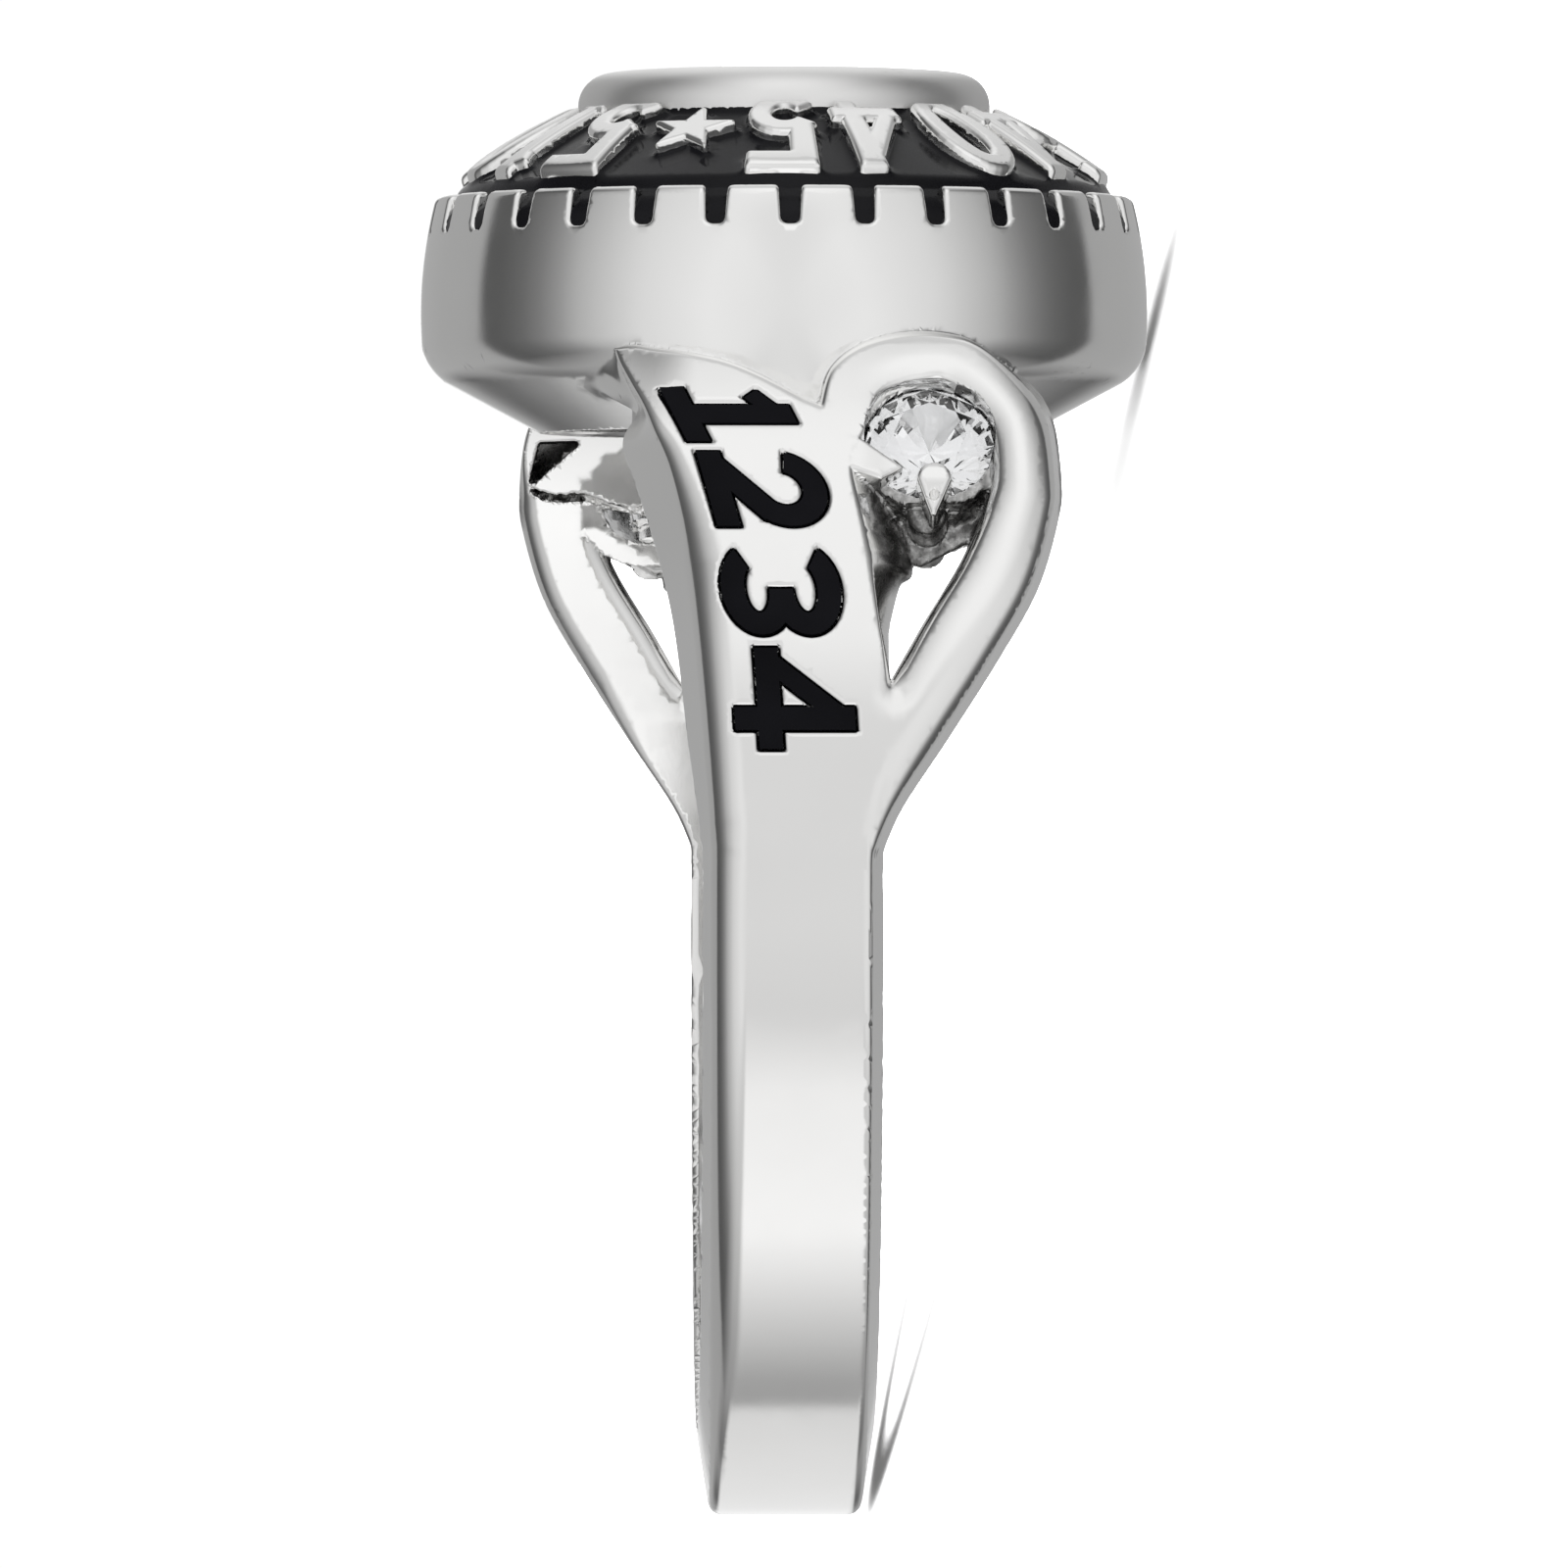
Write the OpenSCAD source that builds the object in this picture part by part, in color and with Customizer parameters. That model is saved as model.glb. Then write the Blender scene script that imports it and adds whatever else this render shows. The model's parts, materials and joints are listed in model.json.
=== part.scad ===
// Class ring: a cast silver ring with a round bezel head, heart shoulders that hold two small
// brilliants, raised dial numerals round the bezel and black enamel in every recess.
// The ring lies on its side, as it rests by itself: on the edge of its band and the foot of its head.
// All lengths are millimetres.

/* [Finger hole and band] */
// Diameter of the finger hole
finger_d = 17.3; // [15.5:0.1:20]
// Width of the band along the finger
band_w = 3.12; // [2.6:0.02:3.6]
// Thickness of the band at the palm side
band_t = 1.55; // [1.2:0.05:2]
// Rounding of the band's outer edges
band_round = 0.4; // [0.2:0.05:0.6]

/* [Heart shoulders] */
// Radius of the shoulders' outer arc, seen along the finger
shoulder_arc_r = 17; // [15:0.5:20]
// Thickness of the shoulders behind that arc
shoulder_t = 2; // [1.6:0.1:2.4]
// Height of the loop's crest above the finger hole
heart_rise = 1.77; // [1.4:0.01:2]
// Reach of the loop from the middle of the band
heart_reach = 4.66; // [4.3:0.02:5]
// Depth from the face down to the wider flank
flank_drop = 0.7; // [0.4:0.05:1]
// Depth from the face down to the metal behind the side stone
backing_drop = 1.1; // [1:0.05:1.3]

/* [Side stones] */
// Diameter of each side stone
side_stone_d = 2.2; // [1.8:0.05:2.3]
// Height of the side stone's centre above the middle of the finger hole
side_stone_z = 8.45; // [8.2:0.05:8.6]
// Distance of the side stone from the middle of the band
side_stone_y = 2.36; // [2.2:0.02:2.5]
// Depth of the girdle below the shoulder's face
side_stone_sink = 0.5; // [0.4:0.05:0.7]
// Wall of the collar round the side stone
collar_wall = 0.22; // [0.15:0.01:0.3]
// Length of that collar below the girdle
collar_l = 1.75; // [1.4:0.05:1.9]
// Diameter of a prong
prong_d = 0.46; // [0.36:0.02:0.6]
// Height of a prong above the girdle
prong_h = 0.3; // [0.25:0.05:0.5]

/* [Head] */
// Diameter of the head at the bulge of its barrel
head_d = 12.78; // [12:0.02:13.6]
// Radius of the barrel's bulge, seen from the side
bulge_r = 8; // [7:0.1:10]
// Height of the bulge above the finger hole
bulge_rise = 2.25; // [2:0.05:2.4]
// Height of the notched rim above the finger hole
rim_rise = 4.3; // [4.1:0.05:4.5]
// Rounding under the barrel
under_round = 0.5; // [0.3:0.05:0.7]
// Diameter of the flat foot under the head
foot_d = 9.08; // [8.8:0.02:9.6]
// Height of that foot above the finger hole
foot_rise = 0.29; // [0.2:0.01:0.5]
// Slope of the cone from the foot up to the barrel, degrees
foot_slope = 28; // [26:0.5:30]
// Wall of the head round its hollow back
head_wall = 1.35; // [1:0.05:1.6]
// Diameter of the opening under the head
back_d = 8.4; // [7.6:0.1:8.6]

/* [Notched rim] */
// Number of notches round the rim
notch_count = 30; // [20:1:36]
// Width of a notch
notch_w = 0.32; // [0.2:0.02:0.5]
// Depth of a notch below the rim's top
notch_depth = 0.66; // [0.5:0.02:0.8]
// Width of the rim's flat top
rim_w = 0.3; // [0.24:0.02:0.4]

/* [Numerals] */
// Slope of the numeral band, degrees
numeral_slope = 30; // [27:1:32]
// Gap between the numerals' outer ends and the rim
numeral_edge = 0.17; // [0.12:0.01:0.25]
// Depth of the numeral band's middle below the bezel's rim
numeral_drop = 1.13; // [1.05:0.01:1.2]
// Width of a numeral's figure, half way out
numeral_w = 1.34; // [1.2:0.02:1.36]
// Width of its strokes there
numeral_stroke = 0.42; // [0.34:0.01:0.46]
// Height of numerals and star above the enamel
relief = 0.22; // [0.12:0.01:0.3]
// Thickness of the enamel under the numerals' faces
enamel_t = 0.25; // [0.15:0.01:0.3]
// Diameter of the star
star_d = 1.45; // [1:0.05:1.6]
// Direction of the star from the near shoulder, degrees
star_azimuth = -21.5; // [-60:0.5:60]

/* [Bezel and main stone] */
// Outer diameter of the bezel
bezel_d = 7.24; // [7:0.02:7.4]
// Height of the bezel's rim above the finger hole
bezel_rise = 6.48; // [6.4:0.02:6.7]
// Rounding of the bezel's outer edge
bezel_round = 0.57; // [0.3:0.01:0.6]
// Diameter of the main stone
main_stone_d = 5.9; // [5.6:0.05:6]
// Width of the bezel's lip over the main stone
lip_w = 0.2; // [0.1:0.02:0.3]
// Thickness of that lip
lip_t = 0.38; // [0.3:0.02:0.45]

/* [Shoulder digits] */
// Height of a digit, across the band
digit_h = 2.04; // [1.8:0.02:2.1]
// Width of a digit
digit_w = 1.7; // [1.5:0.02:1.76]
// Width of a digit's strokes
digit_stroke = 0.4; // [0.3:0.01:0.46]
// Depth of the digits' recesses
digit_depth = 0.3; // [0.2:0.01:0.4]
// How far the enamel stays below the metal
enamel_sink = 0.03; // [0:0.01:0.08]

/* [Fits] */
// Gap between a stone or enamel and the metal
fit_gap = 0.02; // [0.01:0.005:0.04]

/* [Hidden] */
$fn = 64;
silver = "gainsboro";
black = "black";
clear = "aliceblue";
// Spans in each rounded corner and each smoothed step of an outline
corner_steps = 3;
curve_steps = 3;
// Length by which a cutting solid runs past what it cuts
past = 1;
// Length by which a raised or carried piece is rooted in the metal
root = 0.2;

bore_r = finger_d / 2;
band_r = bore_r + band_t;
half_band = band_w / 2;
head_r = head_d / 2;
foot_r = foot_d / 2;
foot_z = bore_r + foot_rise;
rim_z = bore_r + rim_rise;
bezel_r = bezel_d / 2;
bezel_z = bore_r + bezel_rise;
heart_h = bore_r + heart_rise;
// The shoulder's arc starts this much inside the band, so that the two cross cleanly
arc_start = 0.05;
arc_x = band_r - arc_start - shoulder_arc_r;

// Points of a circle from one angle to another, in equal steps
function arc_points(centre, r, from, to, steps) =
    [for (i = [0:steps]) let (a = from + (to - from) * i / steps) centre + r * [cos(a), sin(a)]];

// A smooth open curve through the points p (Catmull-Rom)
function curve_point(a, b, c, d, t) =
    0.5 * (2 * b + (c - a) * t + (2 * a - 5 * b + 4 * c - d) * t * t
        + (3 * b - a - 3 * c + d) * t * t * t);
function smooth(p, steps = curve_steps) = let (n = len(p) - 1) [
    for (i = [0:n - 1]) for (s = [0:steps - 1])
        curve_point(p[max(i - 1, 0)], p[i], p[i + 1], p[min(i + 2, n)], s / steps),
    p[n]
];

// The head's outline: a cone, a rounding tangent to cone and bulge, and the bulge up to the rim
bulge_centre = [head_r - bulge_r, bore_r + bulge_rise];
cone_dir = [cos(foot_slope), sin(foot_slope)];
cone_in = [-sin(foot_slope), cos(foot_slope)];
under_reach = [foot_r, foot_z] + under_round * cone_in - bulge_centre;
under_along = -under_reach * cone_dir
    + sqrt(pow(under_reach * cone_dir, 2) - under_reach * under_reach
        + pow(bulge_r - under_round, 2));
under_centre = [foot_r, foot_z] + under_along * cone_dir + under_round * cone_in;
under_turn = atan2(under_centre.y - bulge_centre.y, under_centre.x - bulge_centre.x);
rim_turn = asin((rim_z - bulge_centre.y) / bulge_r);
rim_r = bulge_centre.x + bulge_r * cos(rim_turn);
channel_r = rim_r - rim_w;

// The numeral band: a cone whose foot is at the bezel
// The numerals start this much inside the bezel's wall and end short of the rim
numeral_tie = 0.08;
numeral_in_r = bezel_r - numeral_tie;
numeral_out_r = channel_r - numeral_edge;
numeral_mid_r = (numeral_in_r + numeral_out_r) / 2;
numeral_mid_z = bezel_z - numeral_drop;
numeral_h = (numeral_out_r - numeral_in_r) / cos(numeral_slope);
function band_z(r, below) =
    numeral_mid_z - (r - numeral_mid_r) * tan(numeral_slope) - below / cos(numeral_slope);
metal_below = relief + enamel_t;
// Width of the channel between that cone and the rim, and its depth below the notches
channel_w = 0.3;
channel_drop = 0.1;
cone_end_r = channel_r - channel_w;
channel_floor_z = rim_z - notch_depth - channel_drop;

// How the ring lies: a line touches the band's lower edge and the head's rounding
band_touch = [half_band - band_round, band_round - band_r];
touch_step = under_centre - band_touch;
lie_tilt = atan2(touch_step.x, touch_step.y)
    - asin((band_round - under_round) / norm(touch_step));
lie_height = band_touch.x * cos(lie_tilt) - band_touch.y * sin(lie_tilt) + band_round;
bezel_reach = (bezel_z - bezel_round) * cos(lie_tilt)
    + (bezel_r - bezel_round) * sin(lie_tilt) + bezel_round;
band_reach = -band_touch.y * cos(lie_tilt) + band_touch.x * sin(lie_tilt) + band_round;
lie_shift = (bezel_reach - band_reach) / 2;

// Turns the upright ring, head up and near shoulder at +X, to the way it lies
module lie_down() {
    translate([-lie_shift, 0, lie_height])
        rotate([0, 90 - lie_tilt, 0])
            rotate([0, 0, -90])
                children();
}

// The ring is the same after half a turn about the axis of its head
module both_shoulders() {
    children();
    rotate([0, 0, 180]) children();
}

// Band

module edge_rounded_band(r_in, r_out) {
    corner = [r_out - band_round, half_band - band_round];
    upper = arc_points(corner, band_round, 90, 0, corner_steps);
    lower = [for (i = [corner_steps:-1:0]) [upper[i].x, -upper[i].y]];
    rotate([90, 0, 0])
        rotate_extrude()
            polygon(concat([[r_in, half_band]], upper, lower, [[r_in, -half_band]]));
}

// Shoulders
// Each row is a point of an outline: which edge it belongs to (1 loop, -1 arm), side share, height
// share. Side share 0 is the edge of the band, 1 the reach of the loop; height share 1 its crest.

function outline(rows) =
    [for (p = rows) [p[0] * (half_band + p[1] * (heart_reach - half_band)), p[2] * heart_h]];

LOOP_EDGE = [
    [1, 0, 0.139], [1, 0.11, 0.214], [1, 0.37, 0.333], [1, 0.63, 0.453], [1, 0.86, 0.573],
    [1, 0.985, 0.694], [1, 1, 0.758], [1, 0.96, 0.856], [1, 0.83, 0.921], [1, 0.535, 0.982],
    [1, 0.21, 1], [1, -0.09, 0.982], [1, -0.28, 0.938], [1, -0.345, 0.877]
];
HORN_EDGE = [
    [1, -0.44, 0.889], [-1, -0.32, 0.929], [-1, -0.13, 0.952], [-1, 0.08, 0.965], [-1, 0.3, 0.975],
    [-1, 0.52, 0.99], [-1, 0.68, 1.02]
];
ARM_EDGE = [
    [-1, 0.57, 0.979], [-1, 0.42, 0.929], [-1, 0.27, 0.847], [-1, 0.16, 0.789], [-1, 0.05, 0.67],
    [-1, 0, 0.509], [-1, -0.05, 0.318], [-1, -0.08, 0.154]
];
FLANK_EDGE = [
    [-1, 0.4, 0.94], [-1, 0.45, 0.84], [-1, 0.35, 0.744], [-1, 0.24, 0.637], [-1, 0.145, 0.509],
    [-1, 0.07, 0.318], [-1, 0, 0.12]
];
// Behind the notch of the heart the flank goes on from the loop's crest and closes on the head
LOOP_CREST = 10;
FLANK_TOP = [[1, -0.2, 0.985], [-1, -0.2, 0.985], [-1, 0.25, 0.97]];
HOLE_TIP = [[1, 0.03, 0.418]];
HOLE_LOOP_EDGE = [
    [1, 0.22, 0.517], [1, 0.435, 0.621], [1, 0.57, 0.718], [1, 0.605, 0.77], [1, 0.57, 0.845],
    [1, 0.4, 0.9], [1, 0.26, 0.912], [1, 0, 0.896], [1, -0.09, 0.84]
];
HOLE_ARM_EDGE = [[1, -0.18, 0.777], [1, -0.12, 0.67], [1, -0.03, 0.509]];
FLANK_HOLE_ARM_EDGE = [[1, 0.158, 0.62], [1, 0.09, 0.575], [1, 0.03, 0.506]];
// The hole is closed behind the side stone, above this edge, as far round as its wall
BACKING_EDGE = [
    [1, 0.75, 0.69], [1, 0.56, 0.662], [1, 0.206, 0.608], [1, -0.02, 0.633], [1, -0.1, 0.68],
    [1, -0.12, 0.8], [1, 0, 0.93], [1, 0.35, 0.95], [1, 0.65, 0.9], [1, 0.8, 0.8]
];

// Both outlines start well inside the band
foot_points = [[-half_band + band_round, -past], [half_band - band_round, -past]];

module face_outline() {
    difference() {
        polygon(concat(
            foot_points, smooth(outline(LOOP_EDGE)), smooth(outline(HORN_EDGE)),
            smooth(outline(ARM_EDGE))
        ));
        polygon(smooth(outline(concat(HOLE_TIP, HOLE_LOOP_EDGE, HOLE_ARM_EDGE))));
    }
}

module flank_hole() {
    polygon(smooth(outline(concat(HOLE_TIP, HOLE_LOOP_EDGE, FLANK_HOLE_ARM_EDGE))));
}

module flank_outline() {
    difference() {
        polygon(concat(
            foot_points, smooth(outline([for (i = [0:LOOP_CREST]) LOOP_EDGE[i]])),
            outline(FLANK_TOP), smooth(outline(FLANK_EDGE))
        ));
        flank_hole();
    }
}

// Stands an outline drawn across the ring up and sweeps it outwards, through the near shoulder
module across_shoulder() {
    rotate([90, 0, 90]) linear_extrude(band_r + past) children();
}

// The shoulders' curved plate, between two arcs, seen along the finger
module shoulder_plate(r_out) {
    rotate([90, 0, 0])
        linear_extrude(2 * heart_reach + 2 * past, center = true)
            intersection() {
                difference() {
                    translate([arc_x, 0]) circle(r_out, $fn = 128);
                    translate([arc_x, 0]) circle(shoulder_arc_r - shoulder_t, $fn = 128);
                }
                translate([foot_r / 2, -past]) square([band_r, heart_h + 2 * past]);
            }
}

module shoulder() {
    intersection() {
        shoulder_plate(shoulder_arc_r);
        across_shoulder() face_outline();
    }
    intersection() {
        shoulder_plate(shoulder_arc_r - flank_drop);
        across_shoulder() flank_outline();
    }
    intersection() {
        shoulder_plate(shoulder_arc_r - backing_drop);
        across_shoulder() polygon(outline(BACKING_EDGE));
    }
}

module band() {
    difference() {
        edge_rounded_band(bore_r - root, band_r);
        both_shoulders() across_shoulder() flank_hole();
    }
}

// Puts a piece on the shoulder's face at a height: Z points out of the face, X down along it
module on_face(y, z, sink) {
    turn = asin(z / (shoulder_arc_r - sink));
    translate([arc_x + (shoulder_arc_r - sink) * cos(turn), y, z])
        rotate([0, 90 - turn, 0])
            children();
}

// Side setting: a collar under the girdle, a seat cut to the stone and two prongs

side_stone_r = side_stone_d / 2;
side_crown = 0.16 * side_stone_d;
side_girdle = 0.03 * side_stone_d;
side_pavilion = 0.43 * side_stone_d;
side_table_share = 0.57;
// Width of the ledge that carries a side stone
side_ledge = side_stone_r / 4;
// Directions of the prongs round the stone, from the palm side
PRONG_TURNS = [12, -62];
// Distance of a prong's axis outside the girdle
prong_out = prong_d / 5;

module at_side_stone() {
    on_face(side_stone_y, side_stone_z, side_stone_sink) children();
}

module collar() {
    translate([0, 0, -collar_l]) cylinder(r = side_stone_r + collar_wall, h = collar_l + side_girdle);
}

module prongs() {
    for (a = PRONG_TURNS)
        rotate([0, 0, a])
            translate([side_stone_r + prong_out, 0, -collar_l / 2])
                cylinder(d = prong_d, h = collar_l / 2 + prong_h);
}

// Space for the stone and, below it, for its point
module stone_seat() {
    hole_r = side_stone_r - side_ledge;
    drop = side_ledge * side_pavilion / side_stone_r;
    rotate_extrude()
        polygon([
            [0, -collar_l - past], [hole_r, -collar_l - past],
            [hole_r, -drop - side_girdle], [side_stone_r + fit_gap, -side_girdle],
            [side_stone_r + fit_gap, past], [0, past]
        ]);
}

// Head

// Radius where the star facets of a brilliant end, as a share of its girdle's radius
function star_share(table) = (1 + table) / 2 / cos(22.5);

module head_outline() {
    polygon(concat(
        [[0, foot_z]],
        arc_points(under_centre, under_round, foot_slope - 90, under_turn, corner_steps),
        arc_points(bulge_centre, bulge_r, under_turn, rim_turn, 2 * corner_steps),
        [
            [channel_r, rim_z], [channel_r, channel_floor_z], [cone_end_r, channel_floor_z],
            [cone_end_r, band_z(cone_end_r, metal_below)], [bezel_r, band_z(bezel_r, metal_below)]
        ],
        arc_points([bezel_r - bezel_round, bezel_z - bezel_round], bezel_round, 0, 90, corner_steps),
        [[0, bezel_z]]
    ));
}

main_stone_r = main_stone_d / 2;
main_crown = 0.075 * main_stone_d;
main_girdle = 0.02 * main_stone_d;
main_pavilion = 0.38 * main_stone_d;
main_table_share = 0.64;
// Width of the ledge that carries the main stone
main_ledge = 0.16 * main_stone_r;
// The steepest facets of the crown lead from the girdle to the stars, half way up
main_crown_slope = main_crown / 2 / (main_stone_r * (1 - star_share(main_table_share)));
lip_z = bezel_z - lip_t;
// Height of the main stone's upper girdle, just under the lip
main_stone_z = lip_z - fit_gap - lip_w * main_crown_slope;
// Thickness of the plate that carries bezel and numerals
plate_t = 1;
// Thickness of the edge round the opening under the head, and height of the slope above it
back_edge_t = 0.5;
back_slope_h = 0.7;

// Hollow back of the head, open to the finger
module back_outline() {
    cavity_r = head_r - head_wall;
    seat_z = main_stone_z - main_girdle;
    drop = main_ledge * main_pavilion / main_stone_r;
    stone_hole_r = main_stone_r - main_ledge;
    polygon([
        [0, foot_z - past], [back_d / 2, foot_z - past], [back_d / 2, foot_z + back_edge_t],
        [cavity_r, foot_z + back_edge_t + back_slope_h],
        [cavity_r, band_z(cavity_r, metal_below + plate_t)],
        [stone_hole_r, band_z(stone_hole_r, metal_below + plate_t)],
        [stone_hole_r, seat_z - drop - fit_gap], [main_stone_r + fit_gap, seat_z - fit_gap],
        [main_stone_r + fit_gap, lip_z], [main_stone_r - lip_w, lip_z],
        [main_stone_r - lip_w, bezel_z + past], [0, bezel_z + past]
    ]);
}

// One notch of the rim, or with a negative gap the enamel in it
module notch(gap, from_r, to_r, top_z) {
    notch_r = notch_w / 2 + gap;
    round_z = rim_z - notch_depth + notch_w / 2;
    translate([from_r, 0, 0])
        rotate([90, 0, 90])
            linear_extrude(to_r - from_r) {
                translate([0, round_z]) circle(notch_r, $fn = 24);
                translate([-notch_r, round_z]) square([2 * notch_r, top_z - round_z]);
            }
}

module notches(gap, from_r, to_r, top_z) {
    for (i = [0:notch_count - 1])
        rotate([0, 0, i * 360 / notch_count])
            notch(gap, from_r, to_r, top_z);
}

// Raised numerals, as on a dial, and a star

DIAL = "5 10 15 20 25 30 35 40 45";
// Room of a space, space after a figure, and width of a 1, as shares of a figure's width
word_space = 0.17;
letter_space = 0.14;
narrow = 0.62;
function figure_share(c) = c == "1" ? narrow : 1;
function advance(c) = c == " " ? word_space : letter_space + figure_share(c);
function total(v, n, i = 0) = i >= n ? 0 : v[i] + total(v, n, i + 1);
advances = [for (c = DIAL) advance(c)];
// The star takes this many figures' room, and the dial the rest of the turn
star_room = 1.3;
// Inner radius of the star as a share of the outer one
star_waist = 0.4;
degrees_per_figure = 360 / (total(advances, len(advances)) + star_room);
function dial_azimuth(i) =
    star_azimuth - degrees_per_figure * (star_room / 2 + total(advances, i) + advances[i] / 2);

// Figures are drawn upright about their middle: h is their height, w their width and t their stroke

// Corners of a straight stroke from p to q, grown by a gap
function stroke(p, q, t, gap) =
    let (along = (q - p) / norm(q - p), side = [-along.y, along.x] * (t / 2 + gap)) [
        p - gap * along - side, q + gap * along - side,
        q + gap * along + side, p - gap * along + side
    ];

function oval_points(centre, r, from, to, steps = 16) = [
    for (i = [0:steps]) let (a = from + (to - from) * i / steps) centre + [r.x * cos(a), r.y * sin(a)]
];

// Outline of a whole oval about the middle
oval_corners = 24;
function oval(r) = oval_points([0, 0], r, 360 / oval_corners, 360, oval_corners - 1);

// Outline of a curved stroke from a lower angle to a higher one, whose outer edge has the radii r
function bowl(centre, r, t, from, to, gap) =
    let (end = asin(gap / (r.x - t / 2))) concat(
        oval_points(centre, r + [gap, gap], from - end, to + end),
        oval_points(centre, r - [t + gap, t + gap], to + end, from - end)
    );

// Outline of an angled stroke: a bar at the top and, from its left end, a stem down to low_y
function angled(left, right, top, low_y, t, gap) = [
    [left - gap, low_y - gap], [left + t + gap, low_y - gap], [left + t + gap, top - t - gap],
    [right + gap, top - t - gap], [right + gap, top + gap], [left - gap, top + gap]
];

function figure_strokes(n, h, w, t, gap) =
    let (
        top = h / 2, side = w / 2, half = t / 2, thin = 0.8 * t,
        bowl_r = [side, (h + t) / 4], low = [0, bowl_r.y - top],
        bar_y = -0.42 * top, stem_x = 0.4 * side
    )
    n == 0 ? [oval([side + gap, top + gap])]
    : n == 1 ? [
        stroke([0, half - top], [0, top], t, gap),
        stroke([-side, half - top], [side, half - top], t, gap),
        stroke([-0.75 * side, top - half - 0.6 * side], [half / 2, top - half], thin, gap)
    ] : n == 2 ? [
        bowl([0, top - side], [side, side], t, -40, 165, gap),
        stroke([half - side, half - top], [0.66 * side, top - 1.4 * side], t, gap),
        stroke([-side, half - top], [side, half - top], t, gap)
    ] : n == 3 ? [
        bowl(-low, bowl_r, t, -90, 150, gap),
        bowl(low, bowl_r, t, -150, 90, gap)
    ] : n == 4 ? [
        stroke([stem_x, -top], [stem_x, top], t, gap),
        stroke([-side, bar_y], [side, bar_y], t, gap),
        stroke([half - side, bar_y], [stem_x, top - half], thin, gap)
    ] : [
        angled(-0.75 * side, 0.85 * side, top, low.y + bowl_r.y / 2, t, gap),
        bowl(low, bowl_r, t, -150, 150, gap)
    ];

// Widens a figure towards its top, as its place on the round band does
function flared(points) =
    [for (p = points) [p.x * (1 + p.y * cos(numeral_slope) / numeral_mid_r), p.y]];

module dial_figure(c, gap) {
    n = ord(c) - ord("0");
    w = figure_share(c) * numeral_w;
    inner = [w / 2 - numeral_stroke - gap, numeral_h / 2 - numeral_stroke - gap];
    difference() {
        union() {
            for (points = figure_strokes(n, numeral_h, w, numeral_stroke, gap)) polygon(flared(points));
        }
        if (n == 0) polygon(flared(oval(inner)));
    }
}

module star(gap) {
    outer_r = star_d / 2 + 3 * gap;
    inner_r = star_waist * star_d / 2 + gap;
    polygon([
        for (i = [0:9]) let (r = i % 2 == 0 ? outer_r : inner_r, a = 36 * i - 90) r * [cos(a), sin(a)]
    ]);
}

// Stands a figure on the numeral band, its top outwards, between two depths below its face
module on_band(azimuth, top, bottom) {
    rotate([0, 0, azimuth])
        translate([numeral_mid_r, 0, numeral_mid_z])
            rotate([0, numeral_slope, 0])
                rotate([0, 0, -90])
                    translate([0, 0, -bottom])
                        linear_extrude(bottom - top)
                            children();
}

module dial(gap, top, bottom) {
    for (i = [0:len(DIAL) - 1])
        if (DIAL[i] != " ") on_band(dial_azimuth(i), top, bottom) dial_figure(DIAL[i], gap);
    on_band(star_azimuth, top, bottom) star(gap);
}

// Shoulder digits, drawn with their tops at +Y

// Leans a figure's width along the arm
function leaned(points, lean) = [for (p = points) [p.x * cos(lean), p.y + p.x * sin(lean)]];

// Where each digit stands: share of the loop's reach, height share, lean in degrees, share of the width
DIGIT_PLACES = [
    [-0.215, 0.862, 23, 0.7], [-0.095, 0.738, 14, 0.87], [-0.045, 0.573, 7, 0.99], [0, 0.394, 3, 1.04]
];

module digit_solid(n, gap, top, bottom) {
    place = DIGIT_PLACES[n - 1];
    on_face(place[0] * heart_reach, place[1] * heart_h, 0)
        translate([0, 0, -bottom])
            linear_extrude(bottom - top)
                for (points = figure_strokes(n, digit_h, place[3] * digit_w, digit_stroke, gap))
                    polygon(leaned(points, place[2]));
}

// Cut stones
// A round brilliant about its upper girdle: table, 8 stars, 8 kites and 16 upper facets on the
// crown, 16 lower facets and 8 mains on the pavilion. Table share is of the girdle's radius.

// Radius of the ring where the mains and lower facets meet, as a share of the girdle's
low_share = 0.22;

function ring_points(n, r, z, turn = 0) =
    [for (i = [0:n - 1]) let (a = turn + i * 360 / n) [r * cos(a), r * sin(a), z]];

module brilliant(r, crown, girdle, pavilion, table) {
    star_r = r * star_share(table);
    low_r = low_share * r;
    low_z = -girdle - pavilion * (1 - low_r * cos(22.5) / r);
    points = concat(
        ring_points(8, r * table, crown), ring_points(8, star_r, crown / 2, 22.5),
        ring_points(16, r, 0), ring_points(16, r, -girdle),
        ring_points(8, low_r, low_z, 22.5), [[0, 0, -girdle - pavilion]]
    );
    // First point of each ring
    stars = 8;
    upper = 16;
    lower = 32;
    lows = 48;
    culet = 56;
    polyhedron(points, concat(
        [[for (i = [7:-1:0]) i]],
        [for (i = [0:7]) [i, (i + 1) % 8, stars + i]],
        [for (i = [0:7]) [i, stars + i, upper + 2 * i, stars + (i + 7) % 8]],
        [for (i = [0:7]) [stars + i, upper + 2 * i + 1, upper + 2 * i]],
        [for (i = [0:7]) [stars + i, upper + (2 * i + 2) % 16, upper + 2 * i + 1]],
        [for (i = [0:15]) [upper + i, upper + (i + 1) % 16, lower + (i + 1) % 16, lower + i]],
        [for (i = [0:7]) [lower + 2 * i, lower + 2 * i + 1, lows + i]],
        [for (i = [0:7]) [lower + 2 * i + 1, lower + (2 * i + 2) % 16, lows + i]],
        [for (i = [0:7]) [culet, lows + (i + 7) % 8, lower + 2 * i, lows + i]]
    ));
}

// Pieces

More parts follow.
